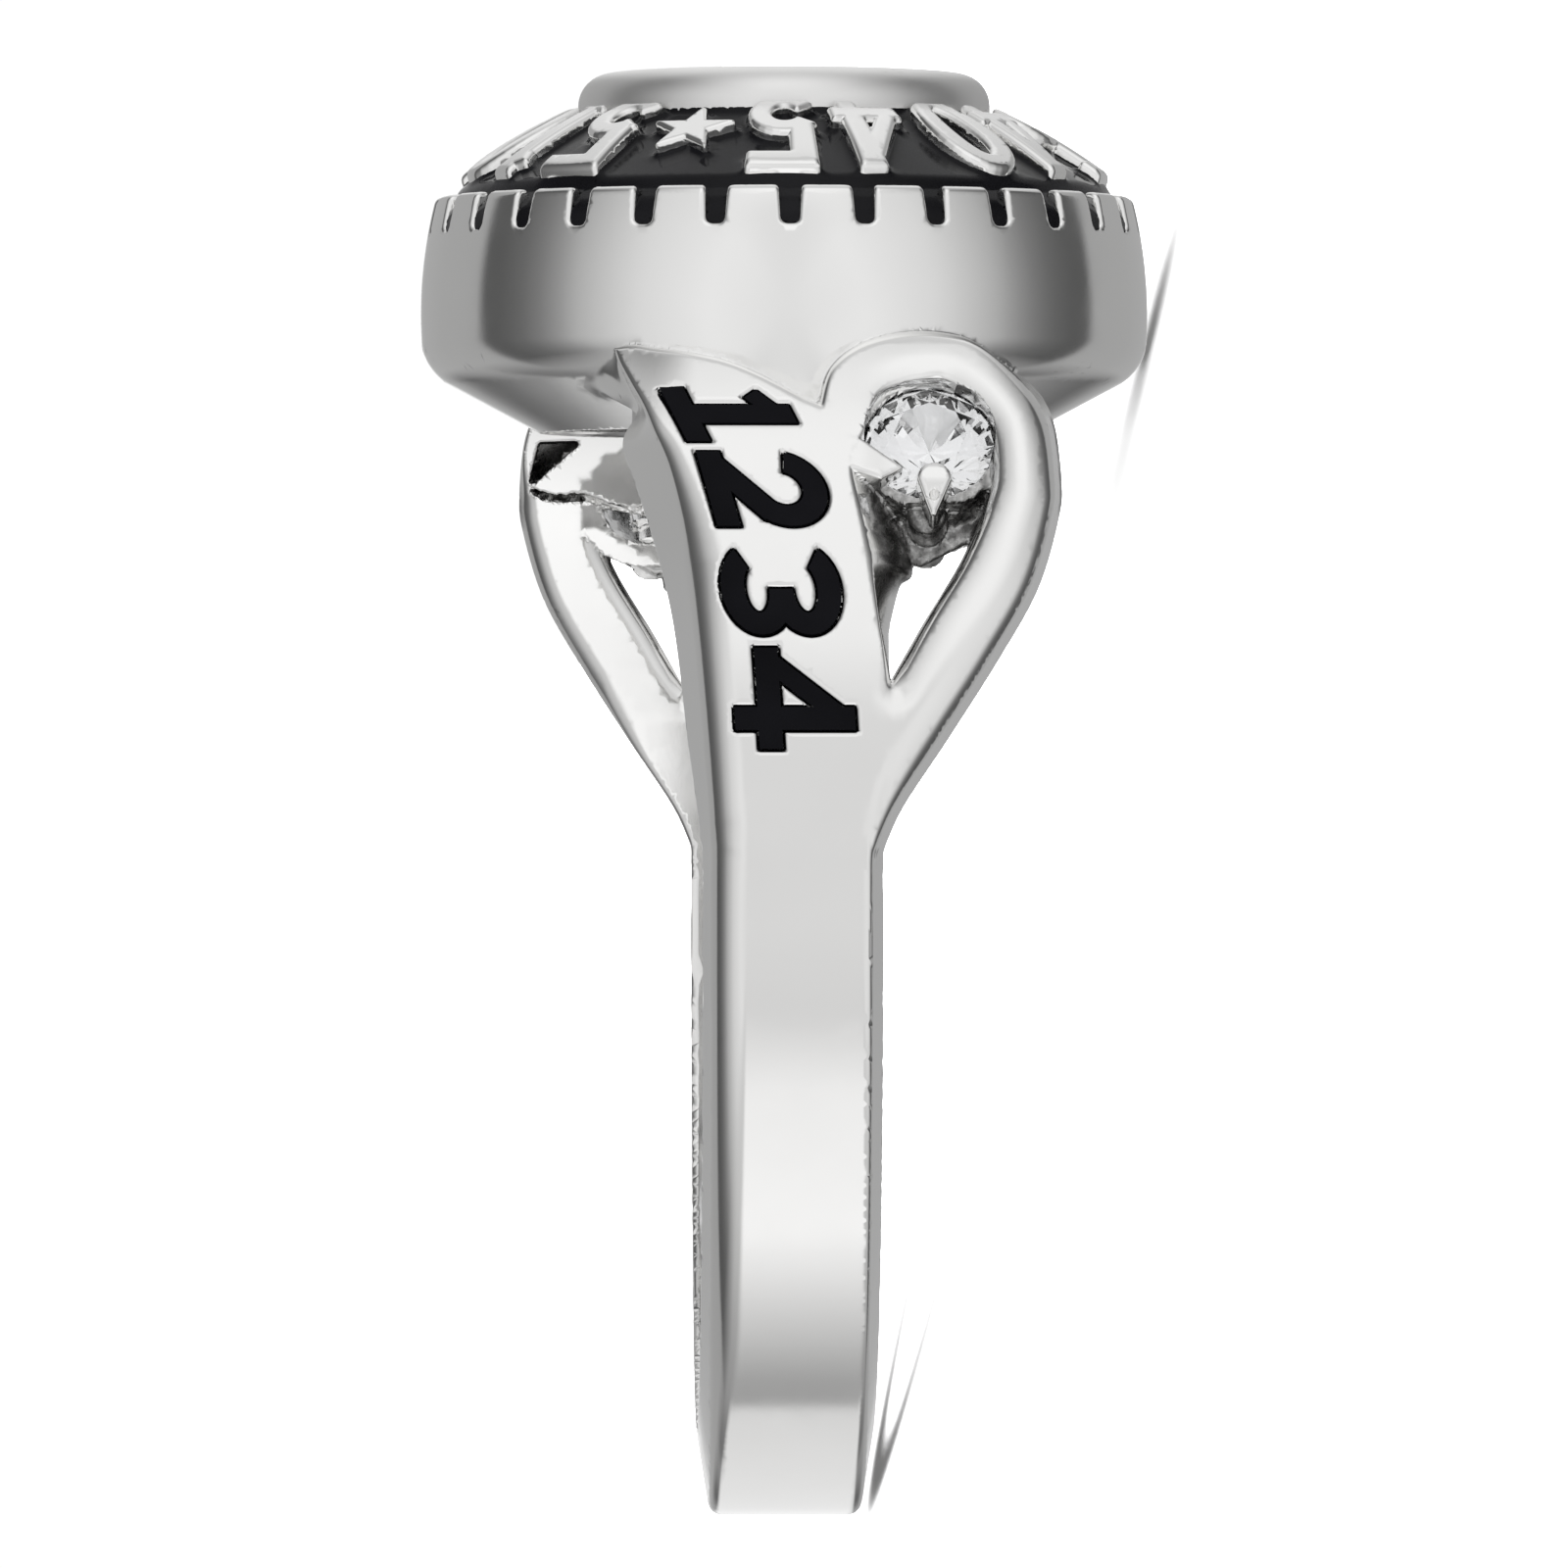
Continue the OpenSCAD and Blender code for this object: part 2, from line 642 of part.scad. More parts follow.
module ring_body() {
    color(silver)
        lie_down()
            difference() {
                union() {
                    band();
                    both_shoulders() {
                        shoulder();
                        at_side_stone() {
                            collar();
                            prongs();
                        }
                    }
                    rotate_extrude() head_outline();
                    dial(0, 0, metal_below + root);
                }
                rotate_extrude() back_outline();
                notches(0, channel_r - root / 2, head_r + past, rim_z + past);
                both_shoulders() {
                    at_side_stone() stone_seat();
                    for (n = [1:4]) digit_solid(n, fit_gap, -past / 2, digit_depth);
                }
                rotate([90, 0, 0]) cylinder(r = bore_r, h = 4 * heart_reach, center = true, $fn = 128);
            }
}

module bezel_enamel() {
    inner_r = bezel_r + fit_gap;
    cone_r = cone_end_r + fit_gap;
    outer_r = channel_r - fit_gap;
    // The enamel's edge falls away from the numerals to the rim
    fall_r = outer_r - 2 * root;
    edge_r = outer_r - root / 2;
    color(black)
        lie_down()
            difference() {
                union() {
                    rotate_extrude()
                        polygon([
                            [inner_r, band_z(inner_r, metal_below - fit_gap)],
                            [cone_r, band_z(cone_r, metal_below - fit_gap)],
                            [cone_r, channel_floor_z + fit_gap], [outer_r, channel_floor_z + fit_gap],
                            [outer_r, rim_z - enamel_sink], [edge_r, rim_z + root / 2],
                            [fall_r, band_z(fall_r, relief)],
                            [inner_r, band_z(inner_r, relief)]
                        ]);
                    notches(-fit_gap, edge_r, rim_r - 2 * enamel_sink, rim_z - 2 * enamel_sink);
                }
                dial(fit_gap, -root, metal_below + root);
            }
}

module main_stone() {
    color(clear)
        lie_down()
            translate([0, 0, main_stone_z])
                brilliant(main_stone_r, main_crown, main_girdle, main_pavilion, main_table_share);
}

module side_stone() {
    color(clear)
        at_side_stone()
            brilliant(side_stone_r, side_crown, side_girdle - fit_gap / 2, side_pavilion, side_table_share);
}

module digit_enamel(n) {
    color(black) digit_solid(n, 0, enamel_sink, digit_depth - fit_gap);
}

module far() {
    rotate([0, 0, 180]) children();
}

ring_body();
bezel_enamel();
main_stone();
lie_down() side_stone();  // side_stone_near
lie_down() far() side_stone();  // side_stone_far
lie_down() digit_enamel(1);  // digit_near_1
lie_down() digit_enamel(2);  // digit_near_2
lie_down() digit_enamel(3);  // digit_near_3
lie_down() digit_enamel(4);  // digit_near_4
lie_down() far() digit_enamel(1);  // digit_far_1
lie_down() far() digit_enamel(2);  // digit_far_2
lie_down() far() digit_enamel(3);  // digit_far_3
lie_down() far() digit_enamel(4);  // digit_far_4
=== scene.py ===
import json
import math
import time

import bpy
import numpy as np
from mathutils import Matrix, Vector


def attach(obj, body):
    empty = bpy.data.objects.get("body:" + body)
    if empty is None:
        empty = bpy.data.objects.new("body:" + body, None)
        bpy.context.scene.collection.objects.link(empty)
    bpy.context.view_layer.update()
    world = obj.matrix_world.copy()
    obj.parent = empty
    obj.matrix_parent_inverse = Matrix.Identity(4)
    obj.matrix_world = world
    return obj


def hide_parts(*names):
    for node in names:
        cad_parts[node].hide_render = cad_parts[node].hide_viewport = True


START = time.time()
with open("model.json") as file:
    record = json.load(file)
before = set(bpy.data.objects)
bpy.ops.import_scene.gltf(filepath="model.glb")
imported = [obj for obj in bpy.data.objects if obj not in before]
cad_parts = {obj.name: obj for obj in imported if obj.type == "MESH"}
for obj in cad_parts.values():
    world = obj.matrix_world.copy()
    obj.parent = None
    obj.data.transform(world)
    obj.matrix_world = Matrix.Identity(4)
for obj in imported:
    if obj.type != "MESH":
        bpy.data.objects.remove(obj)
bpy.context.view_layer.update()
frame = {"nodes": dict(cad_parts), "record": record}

# ---- the standing ring
# Shapes are worked out in millimetres on the standing ring: X from the finger hole's middle towards
# the camera, Y along the finger, Z up through the head. The bore mount says how that ring lies.
bore = next(m for m in frame["record"]["mounts"] if m["name"] == "finger_bore")
ORIGIN = np.array(bore["pos_m"]) * 1000
ALONG = -np.array(bore["axis"]) / np.linalg.norm(bore["axis"])
AWAY = np.array([0.0, 1.0, 0.0])
AXES = np.array([-AWAY, ALONG, np.cross(-AWAY, ALONG)])


def to_row(p):
    """Where a point of the standing ring lies in the row's frame, in metres."""
    return (ORIGIN + np.asarray(p, float) @ AXES) / 1000


# Sizes, in millimetres, as in the source of the solids
BORE_R = 8.65
BAND_R = 10.2
HALF_BAND = 1.56
HEAD_R = 6.39
HEAD_WALL = 1.35
BACK_R = 4.2
FOOT_R = 4.54
FOOT_Z = 8.94
FOOT_SLOPE = math.radians(28)
UNDER_R = 0.5
RIM_Z = 12.95
RIM_W = 0.3
BEZEL_R = 3.62
BEZEL_Z = 15.13
BEZEL_ROUND = 0.57
LIP_W = 0.2
LIP_Z = BEZEL_Z - 0.38
HEART_H = 10.42
HEART_REACH = 4.66
ARC_R = 17.0
ARC_X = BAND_R - 0.05 - ARC_R
INNER_R = ARC_R - 2.0
BACKING_R = ARC_R - 1.1
BULGE_R = 8.0
BULGE_X = HEAD_R - BULGE_R
BULGE_Z = BORE_R + 2.25
RIM_R = BULGE_X + math.sqrt(BULGE_R**2 - (RIM_Z - BULGE_Z) ** 2)
CHANNEL_R = RIM_R - RIM_W
NOTCHES = 30
NOTCH_DEPTH = 0.66
SLOPE = math.radians(30)
NUM_IN = BEZEL_R - 0.08
NUM_OUT = CHANNEL_R - 0.17
NUM_R = (NUM_IN + NUM_OUT) / 2
NUM_Z = BEZEL_Z - 1.13
NUM_H = (NUM_OUT - NUM_IN) / math.cos(SLOPE)
RELIEF = 0.22
ENAMEL = 0.25
FIT = 0.02
SIDE_D = 2.2
SIDE_Y = 2.36
SIDE_Z = 8.45
SIDE_SINK = 0.5
SIDE_SEAT_R = SIDE_D / 2 + FIT
SIDE_GIRDLE = 0.03 * SIDE_D
MAIN_D = 5.9
MAIN_R = MAIN_D / 2
MAIN_CROWN = 0.075 * MAIN_D
MAIN_GIRDLE = 0.02 * MAIN_D
MAIN_PAVILION = 0.38 * MAIN_D
MAIN_TABLE = 0.82

# ---- distance helpers


def ss(lo, hi, x):
    """A smooth step from 0 at lo to 1 at hi."""
    t = np.clip((x - lo) / (hi - lo), 0, 1)
    return t * t * (3 - 2 * t)


def meet(a, b, r):
    """Both a and b, with the edge between them rounded to radius r."""
    u, v = np.maximum(a + r, 0), np.maximum(b + r, 0)
    return np.minimum(np.maximum(a, b), -r) + np.sqrt(u * u + v * v)


def join(a, b, r):
    """a or b, with a fillet of radius r between them."""
    u, v = np.maximum(r - a, 0), np.maximum(r - b, 0)
    return np.maximum(np.minimum(a, b), r) - np.sqrt(u * u + v * v)


def polygon(pts, x, y):
    """Signed distance to a closed polygon, negative inside."""
    p = np.asarray(pts, np.float32)
    d = np.full(x.shape, 1e9, np.float32)
    odd = np.zeros(x.shape, bool)
    for a, b in zip(p, np.roll(p, -1, 0)):
        e = b - a
        wx, wy = x - a[0], y - a[1]
        t = np.clip((wx * e[0] + wy * e[1]) / max(float(e @ e), 1e-12), 0, 1)
        d = np.minimum(d, (wx - e[0] * t) ** 2 + (wy - e[1] * t) ** 2)
        if a[1] != b[1]:
            cross = ((a[1] <= y) != (b[1] <= y)) & (wx < e[0] * wy / e[1])
            odd ^= cross
    d = np.sqrt(d)
    return np.where(odd, -d, d)


class Field:
    """A plane outline's distance, kept on a fine grid and read back smoothly."""

    def __init__(self, make, lo, hi, h):
        self.lo, self.h = lo, h
        self.n = [int(math.ceil((b - a) / h)) + 1 for a, b in zip(lo, hi)]
        gx, gy = np.meshgrid(
            lo[0] + h * np.arange(self.n[0], dtype=np.float32),
            lo[1] + h * np.arange(self.n[1], dtype=np.float32),
            indexing="ij",
        )
        self.g = np.ascontiguousarray(make(gx, gy), np.float32)
        self.flat = self.g.ravel()

    def __call__(self, x, y):
        out, parts = 0.0, []
        for v, lo, n in ((x, self.lo[0], self.n[0]), (y, self.lo[1], self.n[1])):
            q = (v - lo) / self.h
            c = np.clip(q, 1.001, n - 2.001)
            out = out + ((q - c) * self.h) ** 2
            i = np.floor(c)
            t = (c - i).astype(np.float32)
            t2, t3 = t * t, t * t * t
            w = (
                (1 - 3 * t + 3 * t2 - t3) / 6,
                (4 - 6 * t2 + 3 * t3) / 6,
                (1 + 3 * t + 3 * t2 - 3 * t3) / 6,
                t3 / 6,
            )
            parts.append((i.astype(np.int64) - 1, w))
        (i, wi), (j, wj) = parts
        base = i * self.n[1] + j
        total = 0.0
        for a in range(4):
            row = base + a * self.n[1]
            part = 0.0
            for b in range(4):
                part = part + wj[b] * self.flat[row + b]
            total = total + wi[a] * part
        return total + np.sqrt(out).astype(np.float32)


def smooth(p, steps):
    """A smooth open curve through points."""
    p = np.asarray(p, float)
    n, out = len(p) - 1, []
    for i in range(n):
        a, b, c, d = p[max(i - 1, 0)], p[i], p[i + 1], p[min(i + 2, n)]
        for s in range(steps):
            t = s / steps
            bend, twist = 2 * a - 5 * b + 4 * c - d, 3 * b - a - 3 * c + d
            out.append(0.5 * (2 * b + (c - a) * t + bend * t * t + twist * t**3))
    out.append(p[n])
    return [tuple(v) for v in out]


# ---- shoulder outlines
# Rows as in the solids' source: side (1 loop, -1 arm), share of the reach past the band on that
# side, and share of the heart's height.


def rows(table):
    """Points in mm, across and up, for such rows."""
    return [(e * (HALF_BAND + s * (HEART_REACH - HALF_BAND)), z * HEART_H) for e, s, z in table]


LOOP_EDGE = [
    (1, 0, 0.139), (1, 0.11, 0.214), (1, 0.37, 0.333), (1, 0.63, 0.453), (1, 0.86, 0.573),
    (1, 0.985, 0.694), (1, 1, 0.758), (1, 0.96, 0.856), (1, 0.83, 0.921), (1, 0.535, 0.982),
    (1, 0.21, 1), (1, -0.09, 0.982), (1, -0.28, 0.938), (1, -0.345, 0.877),
]
HORN_EDGE = [
    (1, -0.44, 0.889), (-1, -0.32, 0.929), (-1, -0.13, 0.952), (-1, 0.08, 0.965), (-1, 0.3, 0.975),
    (-1, 0.52, 0.995), (-1, 0.7, 1.045),
]
ARM_EDGE = [
    (-1, 0.57, 0.979), (-1, 0.42, 0.929), (-1, 0.27, 0.847), (-1, 0.16, 0.789), (-1, 0.05, 0.67),
    (-1, 0, 0.509), (-1, -0.05, 0.318), (-1, -0.08, 0.154),
]
FLANK_EDGE = [
    (-1, 0.4, 0.94), (-1, 0.45, 0.84), (-1, 0.35, 0.744), (-1, 0.24, 0.637), (-1, 0.145, 0.509),
    (-1, 0.07, 0.318), (-1, 0, 0.12),
]
# The flank leaves the loop's outline at its crest and closes behind the notch of the heart
LOOP_CREST = 10
FLANK_TOP = [(1, -0.2, 0.985), (-1, -0.2, 0.985), (-1, 0.25, 0.97)]
HOLE_TIP = [(1, 0.03, 0.418)]
HOLE_LOOP_EDGE = [
    (1, 0.22, 0.517), (1, 0.435, 0.621), (1, 0.57, 0.718), (1, 0.605, 0.77), (1, 0.57, 0.845),
    (1, 0.4, 0.9), (1, 0.26, 0.912), (1, 0, 0.896), (1, -0.09, 0.84),
]
HOLE_ARM_EDGE = [(1, -0.18, 0.777), (1, -0.12, 0.67), (1, -0.03, 0.509)]
FLANK_HOLE_ARM_EDGE = [(1, 0.158, 0.62), (1, 0.09, 0.575), (1, 0.03, 0.506)]
BACKING_EDGE = [
    (1, 0.75, 0.69), (1, 0.56, 0.662), (1, 0.206, 0.608), (1, -0.02, 0.633), (1, -0.1, 0.68),
    (1, -0.12, 0.8), (1, 0, 0.93), (1, 0.35, 0.95), (1, 0.65, 0.9), (1, 0.8, 0.8),
]
FOOT = [(-HALF_BAND + 0.4, -3.0), (HALF_BAND - 0.4, -3.0)]


def curve(table, steps=8):
    return smooth(rows(table), steps)


face_edge = FOOT + curve(LOOP_EDGE) + curve(HORN_EDGE) + curve(ARM_EDGE)
flank_edge = FOOT + curve(LOOP_EDGE[: LOOP_CREST + 1]) + rows(FLANK_TOP) + curve(FLANK_EDGE)
hole_edge = curve(HOLE_TIP + HOLE_LOOP_EDGE + HOLE_ARM_EDGE)
flank_hole_edge = curve(HOLE_TIP + HOLE_LOOP_EDGE + FLANK_HOLE_ARM_EDGE)

LUT = 0.025
SHOULDER_BOX = ((-4.6, -3.2), (5.6, 11.6))
HOLE_BOX = ((0.2, 3.4), (4.4, 10.4))


def inside_of(pts, box):
    """A polygon's distance, kept as a field."""
    return Field(lambda x, y: polygon(pts, x, y), *box, LUT)


face_out = inside_of(face_edge, SHOULDER_BOX)
flank_out = inside_of(flank_edge, SHOULDER_BOX)
hole_in = inside_of(hole_edge, HOLE_BOX)
flank_hole_in = inside_of(flank_hole_edge, HOLE_BOX)
backing_in = inside_of(rows(BACKING_EDGE), HOLE_BOX)

# ---- numerals and digits


def stroke(p, q, t, gap):
    """Corners of a straight stroke from p to q, grown by a gap."""
    p, q = np.array(p, float), np.array(q, float)
    a = (q - p) / np.linalg.norm(q - p)
    s = np.array([-a[1], a[0]]) * (t / 2 + gap)
    return [p - gap * a - s, q + gap * a - s, q + gap * a + s, p - gap * a + s]


def oval_points(c, r, a0, a1, n=24):
    """Points on an arc about c with the radii r, from a0 to a1 degrees."""
    return [
        np.array([c[0] + r[0] * math.cos(math.radians(a)), c[1] + r[1] * math.sin(math.radians(a))])
        for a in np.linspace(a0, a1, n + 1)
    ]


def oval(r):
    """A whole oval about the middle."""
    return oval_points((0, 0), r, 10, 360, 35)


def bowl(c, r, t, a0, a1, gap):
    """Outline of a curved stroke, whose outer edge has the radii r."""
    end = math.degrees(math.asin(gap / (r[0] - t / 2)))
    outer = (r[0] + gap, r[1] + gap)
    inner = (r[0] - t - gap, r[1] - t - gap)
    return oval_points(c, outer, a0 - end, a1 + end) + oval_points(c, inner, a1 + end, a0 - end)


def angled(left, right, top, low, t, gap):
    """Outline of a bar at the top and, from its left end, a stem down."""
    return [
        (left - gap, low - gap), (left + t + gap, low - gap), (left + t + gap, top - t - gap),
        (right + gap, top - t - gap), (right + gap, top + gap), (left - gap, top + gap),
    ]


def figure_strokes(n, h, w, t, gap=0.0):
    """Strokes of a figure drawn upright about its middle: height, width and stroke."""
    top, side, half, thin = h / 2, w / 2, t / 2, 0.8 * t
    r = (side, (h + t) / 4)
    low = r[1] - top
    bar_y, stem_x = -0.42 * top, 0.4 * side
    if n == 0:
        return [oval((side + gap, top + gap))]
    if n == 1:
        return [
            stroke((0, half - top), (0, top), t, gap),
            stroke((-side, half - top), (side, half - top), t, gap),
            stroke((-0.75 * side, top - half - 0.6 * side), (half / 2, top - half), thin, gap),
        ]
    if n == 2:
        return [
            bowl((0, top - side), (side, side), t, -40, 165, gap),
            stroke((half - side, half - top), (0.66 * side, top - 1.4 * side), t, gap),
            stroke((-side, half - top), (side, half - top), t, gap),
        ]
    if n == 3:
        return [bowl((0, -low), r, t, -90, 150, gap), bowl((0, low), r, t, -150, 90, gap)]
    if n == 4:
        return [
            stroke((stem_x, -top), (stem_x, top), t, gap),
            stroke((-side, bar_y), (side, bar_y), t, gap),
            stroke((half - side, bar_y), (stem_x, top - half), thin, gap),
        ]
    return [
        angled(-0.75 * side, 0.85 * side, top, low + r[1] / 2, t, gap),
        bowl((0, low), r, t, -150, 150, gap),
    ]


def either(polys, x, y):
    """Distance to the nearest of several polygons."""
    d = polygon(polys[0], x, y)
    for p in polys[1:]:
        d = np.minimum(d, polygon(p, x, y))
    return d


# The figures widen towards their tops, as their place on the round band does
FIGURE_W, FIGURE_STROKE = 1.34, 0.42
NARROW = {"1": 0.62}
CORNER_ROUND = 0.05


def flared(points):
    """Points moved apart with their height along the sloping band."""
    return [(p[0] * (1 + p[1] * math.cos(SLOPE) / NUM_R), p[1]) for p in points]


def dial_figure(c):
    """The distance to a figure of the dial, with rounded corners."""
    w, inset = NARROW.get(c, 1) * FIGURE_W, -CORNER_ROUND
    outer = [flared(p) for p in figure_strokes(int(c), NUM_H, w, FIGURE_STROKE, inset)]
    inner = flared(oval((w / 2 - FIGURE_STROKE - inset, NUM_H / 2 - FIGURE_STROKE - inset)))

    def made(x, y):
        d = either(outer, x, y)
        if c == "0":
            d = np.maximum(d, -polygon(inner, x, y))
        return d - CORNER_ROUND

    return made


STAR_OUT, STAR_IN = 0.725, 0.29


def star(x, y):
    """Distance to the five-pointed star, a point towards the channel."""
    pts = []
    for i in range(10):
        a = math.radians(36 * i - 90)
        pts.append(np.array([math.cos(a), math.sin(a)]) * (STAR_IN if i % 2 else STAR_OUT))
    return polygon(pts, x, y)


GLYPH_BOX = ((-1.25, -1.75), (1.25, 1.75))
GLYPH_H = 0.015
glyphs = {c: Field(dial_figure(c), *GLYPH_BOX, GLYPH_H) for c in "012345"}
glyphs["*"] = Field(star, *GLYPH_BOX, GLYPH_H)

DIAL = "5 10 15 20 25 30 35 40 45"
STAR_AZ = -21.5
STAR_ROOM = 1.3
SPACE, FIGURE_GAP = 0.17, 0.14
advances = [SPACE if c == " " else FIGURE_GAP + NARROW.get(c, 1) for c in DIAL]
PER_FIGURE = 360 / (sum(advances) + STAR_ROOM)
dial = [("*", STAR_AZ)]
for k, c in enumerate(DIAL):
    if c != " ":
        past_star = STAR_ROOM / 2 + sum(advances[:k]) + advances[k] / 2
        dial.append((c, STAR_AZ - PER_FIGURE * past_star))

DIGIT_H, DIGIT_W, DIGIT_STROKE, DIGIT_DEPTH = 2.04, 1.7, 0.4, 0.3
DIGIT_GAP = 0.02
# Share of the reach, share of the heart's height, lean in degrees and share of the width
DIGIT_PLACES = [
    (-0.215, 0.862, 23, 0.7), (-0.095, 0.738, 14, 0.87), (-0.045, 0.573, 7, 0.99),
    (0, 0.394, 3, 1.04),
]


def digit_field(n):
    """The distance to the recess of an arm's digit, whose strokes lean with its place."""
    _, _, degrees, share = DIGIT_PLACES[n - 1]
    lean = math.radians(degrees)
    polys = [
        [(p[0] * math.cos(lean), p[1] + p[0] * math.sin(lean)) for p in points]
        for points in figure_strokes(n, DIGIT_H, share * DIGIT_W, DIGIT_STROKE, DIGIT_GAP)
    ]
    return Field(lambda x, y: either(polys, x, y), (-1.5, -1.7), (1.5, 1.7), GLYPH_H)


digit_fields = [digit_field(n) for n in (1, 2, 3, 4)]


def face_frame(y, z, sink):
    """Origin and axes of a piece on the near shoulder: down its face, across it and out of it."""
    turn = math.asin(z / (ARC_R - sink))
    c, s = math.cos(turn), math.sin(turn)
    o = np.array([ARC_X + (ARC_R - sink) * c, y, z])
    return o, np.array([s, 0, -c]), np.array([0.0, 1, 0]), np.array([c, 0, s])


digit_frames = [face_frame(p[0] * HEART_REACH, p[1] * HEART_H, 0) for p in DIGIT_PLACES]
stone_frame = face_frame(SIDE_Y, SIDE_Z, SIDE_SINK)


def local(p, fr):
    """Points in such a frame."""
    o, ax, ay, az = fr
    q = p - o.astype(np.float32)
    return q @ ax.astype(np.float32), q @ ay.astype(np.float32), q @ az.astype(np.float32)


# ---- the casting as a distance


def barrel(r, z, drop=0.0):
    """The head's outside, without its rim and hollows. drop lowers the cone under it."""
    bulge = np.hypot(r - BULGE_X, z - BULGE_Z) - BULGE_R
    cone = (r - FOOT_R) * math.sin(FOOT_SLOPE) - (z + drop - FOOT_Z) * math.cos(FOOT_SLOPE)
    return meet(bulge, cone, UNDER_R - 0.1)


def band_z(r, below):
    """Height of the numeral band at radius r, so far below the numerals' face."""
    return NUM_Z - (r - NUM_R) * math.tan(SLOPE) - below / math.cos(SLOPE)


METAL = RELIEF + ENAMEL
ABOVE = 19.0
CONE_END = CHANNEL_R - 0.3
CHANNEL_Z = RIM_Z - NOTCH_DEPTH - 0.1
cavity_line = [
    (BEZEL_R, band_z(BEZEL_R, METAL)), (CONE_END, band_z(CONE_END, METAL)),
    (CONE_END, CHANNEL_Z), (CHANNEL_R, CHANNEL_Z), (CHANNEL_R, ABOVE), (BEZEL_R, ABOVE),
]
CAVITY_R = HEAD_R - HEAD_WALL
# The hole under the main stone ends at this share of its radius, on the pavilion's slope
HOLE_SHARE = 0.84
STONE_HOLE = MAIN_R * HOLE_SHARE
crown_slope = MAIN_CROWN / 2 / (MAIN_R * (1 - MAIN_TABLE / math.cos(math.radians(22.5))))
SEAT_Z = LIP_Z - FIT - LIP_W * crown_slope - MAIN_GIRDLE
back_line = [
    (-1, FOOT_Z - 3), (BACK_R, FOOT_Z - 3), (BACK_R, FOOT_Z + 0.5), (CAVITY_R, FOOT_Z + 1.2),
    (CAVITY_R, band_z(CAVITY_R, METAL + 1)), (STONE_HOLE, band_z(STONE_HOLE, METAL + 1)),
    (STONE_HOLE, SEAT_Z - (1 - HOLE_SHARE) * MAIN_PAVILION - FIT),
    (MAIN_R + FIT, SEAT_Z - FIT), (MAIN_R + FIT, LIP_Z),
    (MAIN_R - LIP_W, LIP_Z), (MAIN_R - LIP_W, ABOVE), (-1, ABOVE),
]
HEAD_BOX_TOP = (7.2, 16.4)
cavity_field = inside_of(cavity_line, ((2.6, 10.6), HEAD_BOX_TOP))
back_field = inside_of(back_line, ((0.0, 6.5), HEAD_BOX_TOP))

NOTCH_HALF, NOTCH_DRAFT, NOTCH_ROUND = 0.148, 0.06, 0.1


def notch_distance(x, y, z, grow=0.0):
    """Distance to the nearest notch of the rim, which widens a little towards its top."""
    step = 2 * math.pi / NOTCHES
    a = np.arctan2(y, x)
    across = np.abs(np.hypot(x, y) * np.sin(a - np.round(a / step) * step))
    rise = z - (RIM_Z - NOTCH_DEPTH)
    return meet(across - NOTCH_HALF - NOTCH_DRAFT * rise, -rise, NOTCH_ROUND) - grow


# The figures run on a little past their band, to the channel
FIGURE_FIT = NUM_H / (NUM_H + 0.14)
FIGURE_SHIFT = 0.03
FIGURE_GROW, STAR_GROW = 0.025, 0.05
FIGURE_ROUND, STAR_ROUND = 0.12, 0.1
ARCH, STAR_RISE = 0.07, 0.04
MARK_SPAN = 17


def outline(name, across, along):
    """Distance to the outline of the star or of a figure."""
    if name == "*":
        return glyphs[name](across, along) - STAR_GROW
    return glyphs[name](across, (along - FIGURE_SHIFT) * FIGURE_FIT) - FIGURE_GROW


def each_mark(x, y, z):
    """For each mark of the dial: its name, the points near it, and their places in its frame:
    the distance to its outline, the way along it and the height over the numerals' face."""
    az = np.degrees(np.arctan2(y, x))
    c, s = math.cos(SLOPE), math.sin(SLOPE)
    for name, at in dial:
        near = np.nonzero(np.abs((az - at + 180) % 360 - 180) < MARK_SPAN)[0]
        if len(near):
            ca, sa = math.cos(math.radians(at)), math.sin(math.radians(at))
            xx = x[near] * ca + y[near] * sa - NUM_R
            yy = -x[near] * sa + y[near] * ca
            zz = z[near] - NUM_Z
            along = xx * c - zz * s
            yield name, near, outline(name, -yy, along), along, xx * s + zz * c


def dial_distance(x, y, z):
    """Distance to the nearest numeral or the star. A numeral's back is arched along it."""
    d = np.full(x.shape, 0.45, np.float32)
    for name, near, edge, along, w in each_mark(x, y, z):
        if name == "*":
            solid = meet(edge, w - STAR_RISE, STAR_ROUND)
        else:
            arch = ARCH * (1 - np.minimum((along / NUM_H * 2) ** 2, 1))
            solid = meet(edge, w - arch, FIGURE_ROUND)
        d[near] = np.minimum(d[near], solid)
    return d


# Over each heart the barrel runs further down, round this place across
HEART_MIDDLE, HEART_DROP = -0.25, 1.1
RIM_ROUND, NOTCH_EDGE, HEAD_EDGE = 0.12, 0.09, 0.1
# The bezel and the marks are looked at above DETAIL_Z and end in the metal at their feet
DETAIL_Z, BEZEL_FOOT_Z, MARK_FOOT_Z = 11.6, 12.4, 12.3


